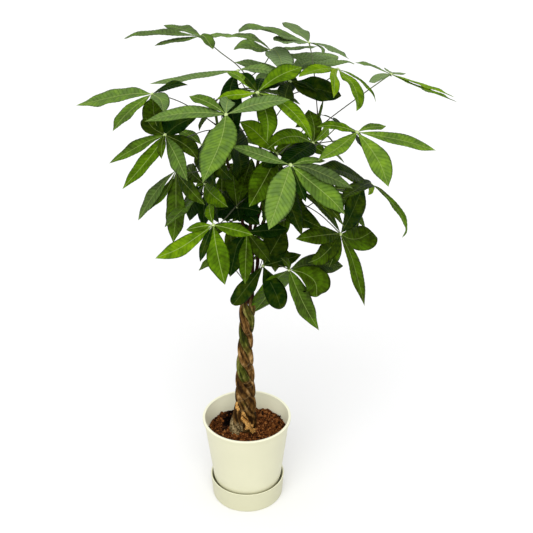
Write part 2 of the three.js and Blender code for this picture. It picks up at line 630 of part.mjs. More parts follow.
// Where two strands press together, the later one gives way to the earlier one
const strandNumbers = Array.from({ length: STRANDS }, (_, k) => k);
const grownStems = strandNumbers.map((strand) => stemSolid(strand, SEAT_GAP));
strandNumbers.forEach((strand) => {
  const stem = grownStems.slice(0, strand).reduce((body, other) => body.subtract(other), stemSolid(strand));
  tree.add(named(`stem_${strand + 1}`, geometryOf(stem), BARK));
});

const seen = Object.values(SEEN_LEAVES).map(({ hub, depth, facing, grows, tips }) => {
  const centre = onSightLine(hub, depth);
  const normal = direction(...facing);
  const leaflets = tips.map(([u, v, slimness]) => ({ tip: seenTip(centre, [u, v], normal), slimness }));
  return leafSolid(centre, normal, leaflets, budOn(...grows, centre));
});
const hidden = HIDDEN_LEAVES.map(([u, v, depth, azimuth, tilt, shoot, height, reach, count]) => {
  const centre = onSightLine([u, v], depth);
  const normal = direction(azimuth, tilt);
  const leaflets = fannedLeaflets(centre, normal, azimuth, tilt, reach, count);
  return leafSolid(centre, normal, leaflets, budOn(shoot, height, centre));
});
[...seen, ...hidden].forEach((body, k) => {
  tree.add(named(`leaf_${String(k + 1).padStart(2, '0')}`, geometryOf(body), LEAF));
});

export default tree;
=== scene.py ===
# %% [markdown]
# # A potted money tree
# The plant has a trunk of three plaited stems, a crown of hand-shaped leaves and a cream plastic
# pot on a saucer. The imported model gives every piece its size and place, but its leaves are
# faceted. This lesson gives each of them a finer surface and a finish worked out by nodes.

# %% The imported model
import math

import bpy
import numpy as np
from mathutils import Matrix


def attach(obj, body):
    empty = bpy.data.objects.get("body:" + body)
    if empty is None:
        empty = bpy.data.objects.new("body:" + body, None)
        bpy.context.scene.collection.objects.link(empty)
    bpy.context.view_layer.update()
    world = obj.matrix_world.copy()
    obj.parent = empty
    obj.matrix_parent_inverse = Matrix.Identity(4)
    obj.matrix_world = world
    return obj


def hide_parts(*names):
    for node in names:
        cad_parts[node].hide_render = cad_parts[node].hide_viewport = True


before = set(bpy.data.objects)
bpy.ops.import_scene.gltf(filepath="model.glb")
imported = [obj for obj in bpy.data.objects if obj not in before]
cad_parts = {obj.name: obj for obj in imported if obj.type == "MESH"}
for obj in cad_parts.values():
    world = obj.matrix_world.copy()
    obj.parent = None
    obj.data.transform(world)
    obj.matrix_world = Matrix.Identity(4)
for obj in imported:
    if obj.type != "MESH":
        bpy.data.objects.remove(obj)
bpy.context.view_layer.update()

print("nodes in the model:", len(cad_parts))

# %% [markdown]
# ## The view
# The photograph was taken from above the pot's rim, looking down. Its eye point was worked out
# from the ellipses of the rim, of the saucer and of the saucer's base. Lengths in this lesson are
# millimetres, and become metres only when a mesh is made.

# %% Camera
MM = 0.001
EYE = np.array([55.4, -2029.0, 1745.0])
PITCH = math.radians(26.56)
FOCAL_PIXELS = 880.0
PICTURE = 533
SENSOR = 36.0
FORWARD = np.array([0.0, math.cos(PITCH), -math.sin(PITCH)])
RIGHTWARD = np.array([1.0, 0.0, 0.0])
UPWARD = np.array([0.0, math.sin(PITCH), math.cos(PITCH)])


def add_object(name, data):
    """A new object, linked into the scene."""
    made = bpy.data.objects.new(name, data)
    bpy.context.scene.collection.objects.link(made)
    return made


camera_data = bpy.data.cameras.new("camera")
camera_data.sensor_width = SENSOR
camera_data.lens = FOCAL_PIXELS / PICTURE * SENSOR
camera = add_object("camera", camera_data)
camera.location = EYE * MM
camera.rotation_euler = (math.pi / 2 - PITCH, 0, 0)
bpy.context.scene.camera = camera
print("lens in mm:", round(camera_data.lens, 2))


# %% Sight lines
def unit(vectors):
    """Vectors of length one: each vector over its own length."""
    vectors = np.asarray(vectors, float)
    return vectors / np.linalg.norm(vectors, axis=-1, keepdims=True)


def sight_line(pixel):
    """Way through a pixel: forward, plus the pixel's offsets over the focal length."""
    across = (pixel[0] - PICTURE / 2) / FOCAL_PIXELS
    up = (PICTURE / 2 - pixel[1]) / FOCAL_PIXELS
    return unit(FORWARD + across * RIGHTWARD + up * UPWARD)


def on_sight_line(pixel, depth):
    """Point at a depth along Y: the eye plus as much of the sight line as reaches that depth."""
    line = sight_line(pixel)
    return EYE + line * (depth - EYE[1]) / line[1]


SOIL_PIXEL, SOIL_DEPTH = (245, 434), -30
print("soil in front of the trunk:", on_sight_line(SOIL_PIXEL, SOIL_DEPTH).round(0))

# %% [markdown]
# ## From arrays to meshes
# Nearly everything here is a grid of points: rings of points carried along a line. The points,
# the four-sided faces between the rings and the two end faces go into a mesh at once. Numbers
# that a finish needs, such as the distance from a leaf's rib, are kept as attributes of the
# points.

# %% Shells
def shell(rings, finish=0, **values):
    """A closed shell from rings of points, as an array (rings, points of a ring, 3). Neighbouring
    rings are joined by quads, and the first and last ring are closed by one face each."""
    rings = np.asarray(rings, float)
    rows, ring = rings.shape[:2]
    here = np.arange(rows * ring).reshape(rows, ring)
    after = np.roll(here, -1, axis=1)
    quads = np.stack([here[:-1], after[:-1], after[1:], here[1:]], axis=-1).reshape(-1, 4)
    values = {name: np.broadcast_to(value, (rows, ring)).ravel() for name, value in values.items()}
    return {"points": rings.reshape(-1, 3), "quads": quads, "caps": [here[0, ::-1], here[-1]],
            "finish": finish, "values": values}


square = [(0, 0), (1, 0), (1, 1), (0, 1)]
cube = shell([[(x, y, z) for x, y in square] for z in (0, 1)])
print("a cube made as a shell has", len(cube["quads"]) + len(cube["caps"]), "faces")

# %% Pieces
ROOT_BODY = "root"
triangle_counts = []


def make_piece(name, shells, materials, nodes):
    """One object from several shells, in metres, at the origin, with its attributes and finishes."""
    starts = np.cumsum([0] + [len(s["points"]) for s in shells])
    points = np.concatenate([s["points"] for s in shells]) * MM
    faces, sizes, finishes = [], [], []
    for start, s in zip(starts, shells):
        faces += [s["quads"].ravel() + start] + [cap + start for cap in s["caps"]]
        sizes += [4] * len(s["quads"]) + [len(cap) for cap in s["caps"]]
        finishes += [s["finish"]] * (len(s["quads"]) + len(s["caps"]))
    corners = np.concatenate(faces)
    mesh = bpy.data.meshes.new(name)
    mesh.vertices.add(len(points))
    mesh.vertices.foreach_set("co", points.ravel().astype(np.float32))
    mesh.loops.add(len(corners))
    mesh.loops.foreach_set("vertex_index", corners.astype(np.int32))
    mesh.polygons.add(len(sizes))
    mesh.polygons.foreach_set("loop_start", np.cumsum([0] + sizes[:-1]).astype(np.int32))
    mesh.polygons.foreach_set("material_index", np.array(finishes, np.int32))
    for key in sorted({key for s in shells for key in s["values"]}):
        values = [s["values"].get(key, np.zeros(len(s["points"]))) for s in shells]
        attribute = mesh.attributes.new(key, "FLOAT", "POINT")
        attribute.data.foreach_set("value", np.concatenate(values).astype(np.float32))
    mesh.update(calc_edges=True)
    mesh.validate()
    mesh.shade_smooth()
    for material in materials:
        mesh.materials.append(material)
    piece = add_object(name, mesh)
    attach(piece, ROOT_BODY)
    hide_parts(*nodes)
    triangle_counts.append(sum(sizes) - 2 * len(sizes))


print("every piece rides on the body", ROOT_BODY)

# %% Noise
def random_of(cells, seed):
    """A repeatable number from 0 to 1 for each cell: the fraction left of a large sine."""
    mixed = np.sin(cells @ np.array([127.1, 311.7, 74.7]) + seed * 17.3) * 43758.5453
    return mixed - np.floor(mixed)


def noise(points, size, seed=0):
    """Soft noise from -1 to 1: random numbers on a lattice of the given size, blended inside each
    of its cubes by the smooth step 3f^2 - 2f^3."""
    scaled = np.asarray(points, float) / size
    cell = np.floor(scaled)
    part = scaled - cell
    part = part * part * (3 - 2 * part)
    total = np.zeros(scaled.shape[:-1])
    for corner in np.ndindex(2, 2, 2):
        corner = np.array(corner, float)
        weight = np.prod(np.where(corner > 0, part, 1 - part), axis=-1)
        total += weight * random_of(cell + corner, seed)
    return 2 * total - 1


def rough(points, size, seed=0, layers=3):
    """Layers of noise, each half as large and half as strong as the one before."""
    return sum(noise(points, size / 2**k, seed + k) / 2**k for k in range(layers))


print("noise at three places in a row:", noise([(0, 0, 0), (5, 0, 0), (10, 0, 0)], 12).round(2))

# %% Paths
def curve_through(points, samples=24):
    """A smooth path through points: cubic pieces whose slopes at each point come from its
    neighbours, weighted by the square roots of the distances between them."""
    points = np.asarray(points, float)
    ends = np.vstack([2 * points[0] - points[1], points, 2 * points[-1] - points[-2]])
    p0, p1, p2, p3 = ends[:-3], ends[1:-2], ends[2:-1], ends[3:]
    d0, d1, d2 = (np.linalg.norm(b - a, axis=1)[:, None]**0.5 for a, b in ((p0, p1), (p1, p2), (p2, p3)))
    leave = ((p1 - p0) / d0 - (p2 - p0) / (d0 + d1) + (p2 - p1) / d1) * d1
    arrive = ((p2 - p1) / d1 - (p3 - p1) / (d1 + d2) + (p3 - p2) / d2) * d1
    s = np.linspace(0, 1, samples, endpoint=False)[None, :, None]
    p1, p2, leave, arrive = (a[:, None] for a in (p1, p2, leave, arrive))
    path = ((2 * s**3 - 3 * s**2 + 1) * p1 + (s**3 - 2 * s**2 + s) * leave
            + (3 * s**2 - 2 * s**3) * p2 + (s**3 - s**2) * arrive)
    return np.vstack([path.reshape(-1, 3), points[-1:]])


def bent_between(a, b, c, d, samples):
    """A cubic path from a to d that leaves towards b and arrives from c."""
    s = np.linspace(0, 1, samples)[:, None]
    return (1 - s)**3 * a + 3 * s * (1 - s)**2 * b + 3 * s**2 * (1 - s) * c + s**3 * d


def lengths_along(path):
    """Distance from a path's start to each of its points."""
    return np.concatenate([[0], np.cumsum(np.linalg.norm(np.diff(path, axis=0), axis=1))])


def points_at(path, where, measure):
    """Points of a path where a measure, such as its length, has given values."""
    return np.stack([np.interp(where, measure, path[:, k]) for k in range(3)], axis=-1)


def even(path, count):
    """The same path as points at even distances."""
    measure = lengths_along(path)
    return points_at(path, np.linspace(0, measure[-1], count), measure)


bend = curve_through([(0, 0, 0), (30, 10, 0), (40, 40, 0)])
print("length of a path through three points:", lengths_along(bend)[-1].round(1), "mm")

# %% Tubes
def tube_rings(path, radii, sides, reference):
    """Rings round a path: centre + radius (cos a n + sin a b), with n square to the path and to a
    reference direction, and b square to both. radii is one number a ring, or one a point."""
    along = unit(np.gradient(path, axis=0))
    n = unit(np.cross(along, reference))
    b = np.cross(along, n)
    angle = np.arange(sides) / sides * 2 * np.pi
    radii = np.broadcast_to(np.asarray(radii, float).reshape(len(path), -1), (len(path), sides))
    spokes = np.cos(angle)[None, :, None] * n[:, None] + np.sin(angle)[None, :, None] * b[:, None]
    return path[:, None] + radii[..., None] * spokes


def smooth_step(value, low, high):
    """From 0 at low to 1 at high, with level ends: 3x^2 - 2x^3."""
    x = np.clip((value - low) / (high - low), 0, 1)
    return x * x * (3 - 2 * x)


print("the smooth step a quarter of the way:", smooth_step(0.25, 0, 1))

# %% [markdown]
# ## Finishes by nodes
# A finish is a small tree of nodes that ends in one main shader. Short methods make a node, set
# its inputs and give its output back, so that a finish reads like a list of what the surface
# shows.

# %% Node helpers
class Finish:
    """A node material, its tree and its main shader, already joined to the output."""

    def __init__(self, name):
        self.material = bpy.data.materials.new(name)
        self.material.use_nodes = True
        self.tree = self.material.node_tree
        self.tree.nodes.clear()
        self.shader = self.tree.nodes.new("ShaderNodeBsdfPrincipled")
        self.surface = self.tree.nodes.new("ShaderNodeOutputMaterial").inputs["Surface"]
        self.tree.links.new(self.shader.outputs[0], self.surface)
        self.where = self.node("TexCoord", output="Object")

    def put(self, node, sockets):
        """Sets or joins inputs, given as {name or number: value, colour or another output}."""
        for key, value in sockets.items():
            socket = node.inputs[key]
            if isinstance(value, bpy.types.NodeSocket):
                self.tree.links.new(value, socket)
            else:
                socket.default_value = (*value, 1) if socket.type == "RGBA" else value

    def node(self, kind, sockets=None, output=0, **settings):
        """An output of a new node."""
        node = self.tree.nodes.new("ShaderNode" + kind)
        for key, value in settings.items():
            setattr(node, key, value)
        self.put(node, sockets or {})
        return node.outputs[output]

    def calc(self, operation, a, b=0.0):
        """A function of two numbers."""
        return self.node("Math", {0: a, 1: b}, operation=operation)

    def times(self, a, b):
        return self.calc("MULTIPLY", a, b)

    def add(self, first, *others):
        for other in others:
            first = self.calc("ADD", first, other)
        return first

    def stretch(self, value, low, high, to_low=0.0, to_high=1.0):
        """A value moved from one range to another and kept inside it, with soft ends."""
        sockets = {"Value": value, "From Min": low, "From Max": high, "To Min": to_low, "To Max": to_high}
        return self.node("MapRange", sockets, interpolation_type="SMOOTHSTEP")

    def blend(self, share, a, b):
        """Two colours blended by a share from 0 to 1."""
        return self.node("Mix", {0: share, 6: a, 7: b}, 2, data_type="RGBA")

    def ramp(self, value, *stops):
        """A colour read off a row of stops, each one a position and a colour."""
        colour = self.node("ValToRGB", {0: value})
        band = colour.node.color_ramp
        while len(band.elements) < len(stops):
            band.elements.new(0.5)
        for element, (position, *shade) in zip(band.elements, stops):
            element.position, element.color = position, (*shade, 1)
        return colour

    def value(self, name):
        """A number kept on the mesh's points."""
        return self.node("Attribute", output="Fac", attribute_name=name)

    def speckle(self, scale, detail=3.0, roughness=0.55, where=None):
        """Noise from 0 to 1, in object coordinates unless others are given."""
        sockets = {"Vector": where or self.where, "Scale": scale, "Detail": detail, "Roughness": roughness}
        return self.node("TexNoise", sockets)

    def relief(self, height, distance, strength=1.0):
        """A Bump node's normal, for a height from 0 to 1 that stands for so many metres."""
        return self.node("Bump", {"Height": height, "Distance": distance, "Strength": strength})

    def skin(self, colour, roughness, specular=0.5, **more):
        """Dresses the main shader and gives the material back."""
        self.put(self.shader, {"Base Color": colour, "Roughness": roughness,
                               "Specular IOR Level": specular, **more})
        return self.material


print("materials before the first finish:", len(bpy.data.materials))

# %% [markdown]
# ## Leaf finish
# A money tree's leaflet is leathery. Its colour goes from dark green to yellow green on young
# leaves, and the near black green deep in the crown is painted shade. Its midrib is paler, its side
# veins lie in furrows that are painted darker as shade, and its underside is dull and light. Some
# light comes through it. A grey green painted sheen stands for the soft light's reflection. A
# picture painted for every blade could show this, but it would have to be fitted to each. Here
# one finish serves all leaves, because each leaflet carries its own tone, and each point knows how
# far it is from the midrib and from the nearest side vein.

# %% Leaf
# The near black end of the tones is painted shade for leaflets deep in the crown, and each leaflet's tone
# holds its own colour together with painted light and shade.
LEAF_TONES = [(0.00, 0.002, 0.016, 0.0006), (0.12, 0.007, 0.026, 0.001), (0.26, 0.029, 0.050, 0.0015),
              (0.50, 0.076, 0.160, 0.003), (0.75, 0.185, 0.330, 0.004), (1.00, 0.360, 0.460, 0.012)]
# A grey green painted sheen, which stands for the soft light's reflection on a leaflet.
LEAF_PAINTED_SHEEN = (0.230, 0.325, 0.150)
LEAF_BENEATH = (0.110, 0.170, 0.035)
LEAF_GLOW = (0.22, 0.36, 0.004)
VEIN_COLOUR = (0.055, 0.105, 0.006)
RIB_COLOUR = (0.330, 0.430, 0.120)
RIB_HALF_WIDTH = 1.2


def leaf_finish():
    """Tone, then painted grey sheen, side veins, midrib and underside, one over the other. A vein is
    darker than a light blade and lighter than a dark one. Beside it the blade sinks, and its tone is
    lowered there as painted shade and raised on the bulge as painted light."""
    f = Finish("leaf_surface")
    mottling, cloud = f.speckle(60, 4), f.speckle(16, 2)
    beat = f.calc("ABSOLUTE", f.calc("SINE", f.times(f.value("vein"), math.pi)))
    # Beside each side vein the tone drops, as painted shade in the furrow, and on the bulge it rises a
    # little, as painted light.
    tone = f.add(f.value("tone"), f.stretch(mottling, 0.3, 0.7, -0.09, 0.11),
                 f.stretch(cloud, 0.3, 0.7, -0.07, 0.07), f.stretch(beat, 0.05, 0.7, -0.04, 0.02))
    colour = f.ramp(tone, *LEAF_TONES)
    # The painted sheen is stronger on the bulges between the side veins.
    bloom = f.times(f.value("bloom"), f.stretch(beat, 0.1, 0.8, 0.75, 1.1))
    colour = f.blend(bloom, colour, LEAF_PAINTED_SHEEN)
    colour = f.blend(f.stretch(beat, 0.0, 0.22, 0.3, 0.0), colour, VEIN_COLOUR)
    on_rib = f.stretch(f.value("from_rib"), RIB_HALF_WIDTH * 0.5, RIB_HALF_WIDTH, 1.0, 0.0)
    # The pale midrib shows little on dark tones, so that it shares their painted shade.
    rib_share = f.stretch(f.value("tone"), 0.1, 0.5, 0.12, 0.8)
    colour = f.blend(f.times(on_rib, rib_share), colour, RIB_COLOUR)
    beneath = f.value("beneath")
    colour = f.blend(f.times(beneath, 0.4), colour, LEAF_BENEATH)
    gloss = f.add(f.stretch(mottling, 0.25, 0.75, 0.36, 0.46), f.times(beneath, 0.25))
    height = f.add(f.times(beat, 1.6), f.speckle(900, 2))
    f.skin(colour, gloss, 0.02, Normal=f.relief(height, 0.0006, 0.8))
    through = f.node("BsdfTranslucent", {"Color": f.blend(0.35, colour, LEAF_GLOW)})
    f.tree.links.new(f.node("MixShader", {0: 0.12, 1: f.shader.outputs[0], 2: through}), f.surface)
    return f.material


LEAF = leaf_finish()
print("nodes in the leaf finish:", len(LEAF.node_tree.nodes))

# %% Leaf stalk
def stalk_finish():
    """Brown grey where it grows from the shoot, green along its length and pale at the hub."""
    f = Finish("leaf_stalk")
    grain = f.speckle(300)
    share = f.add(f.value("young"), f.stretch(grain, 0.3, 0.7, -0.06, 0.06))
    colour = f.ramp(share, (0.0, 0.045, 0.035, 0.022), (0.55, 0.075, 0.085, 0.040),
                    (0.85, 0.150, 0.220, 0.050), (1.0, 0.620, 0.740, 0.320))
    return f.skin(colour, 0.5, Normal=f.relief(grain, 0.0003, 0.5))


STALK = stalk_finish()
print("nodes in the stalk finish:", len(STALK.node_tree.nodes))

# %% [markdown]
# ## Shoots
# Above the plait the three stems go on as thin shoots, and one of them forks. Each shoot passes
# through points that lie on sight lines of the photograph, so the shoots are where it shows them.
# Straight sticks would be simpler, but the leaf stalks grow from the shoots and would start in
# the wrong places.

# %% The axis of a plaited strand
# height, width of the plait and its offset to the right
BRAID_SIZES = np.array([[150, 70, -13], [220, 70, -12], [250, 68, -8.5], [290, 64, -4], [304, 63, -3],
                        [350, 60, -3.3], [400, 56, -3.4], [470, 46, -2.5], [530, 42, 0.5], [590, 47, 4.5],
                        [640, 46, 5]])
BRAID_PERIOD, BRAID_START = 156.0, 186.7
BRAID_SWING, BRAID_HASTE, BRAID_DEPTH, BRAID_ROLL = 0.28, 0.13, 0.1, 0.19
FLARE_FROM, FLARE_TO, FLARE_BY = 298.0, 240.0, 0.6


def braid_at(height):
    """The plait's width and offset at a height."""
    return (np.interp(height, BRAID_SIZES[:, 0], BRAID_SIZES[:, column]) for column in (1, 2))


def strand_centre(strand, height):
    """Axis of a strand. Across it swings as sin p - haste sin 2p, slowly to the right and quickly
    back. In depth it goes as depth sin 2p - roll cos p, so that it passes in front on the slow
    way. Near the soil the strands spread sideways."""
    width, offset = braid_at(height)
    spread = 1 + FLARE_BY * smooth_step(-height, -FLARE_FROM, -FLARE_TO)
    phase = -2 * np.pi * ((height - BRAID_START) / BRAID_PERIOD + strand / 3)
    across = BRAID_SWING * width * spread * (np.sin(phase) - BRAID_HASTE * np.sin(2 * phase))
    depth = width * (BRAID_DEPTH * np.sin(2 * phase) - BRAID_ROLL * np.cos(phase))
    return np.stack([across + offset, depth], axis=-1)


print("axis of the first strand, 400 mm up:", strand_centre(0, 400.0).round(1))

# %% Shoot paths
SHOOT_START = 616.0
SHOOT_POINTS = 90

# the strand that a shoot goes on from, its radii, and the pixel and depth of the points it passes
SHOOTS = {
    "front": (0, (5, 3.4), [(249, 303, 0), (252.5, 262, -4), (250.5, 225, -8), (253, 190, -8),
                            (260, 150, 0), (262, 125, 6), (262.5, 95, 10)]),
    "right": (1, (5, 3.4), [(253, 302, 4), (257, 268, 8), (258.5, 238, 12), (272, 204, 16),
                            (297, 172, 20), (312, 148, 20), (316.5, 127, 20), (323, 101, 22)]),
    "left": (2, (5, 3.4), [(248, 300, 12), (247.5, 265, 26), (243, 225, 45), (234, 185, 62),
                           (224, 150, 76), (217, 122, 88), (214, 98, 96)]),
    "back": (2, (4.2, 3.2), [(247.5, 268, 25), (253, 235, 52), (263, 200, 82), (271, 160, 108),
                             (271.5, 128, 124), (273, 100, 132)]),
}


def shoot_path(name):
    """A shoot's path: through its points, starting on its strand's axis unless it is a fork."""
    strand, _, passed = SHOOTS[name]
    points = np.array([on_sight_line((u, v), depth) for u, v, depth in passed])
    if name != "back":
        points[0] = [*strand_centre(strand, SHOOT_START), SHOOT_START]
    return even(curve_through(points), SHOOT_POINTS)


SHOOT_PATHS = {name: shoot_path(name) for name in SHOOTS}
for name, path in SHOOT_PATHS.items():
    print("shoot", name, "tops out at", path[-1].round(0))

# %% [markdown]
# ## Leaves
# A leaf is a long thin stalk, a small pale hub and several leaflets that spread from it like
# fingers. A leaflet could be a flat card with a picture on it, but then it has no form from the
# side. Here it is a thin closed shell on a grid. Its rows lean forward as the side veins do, so
# that the blade can bulge between one vein and the next, which gives the rippled look.

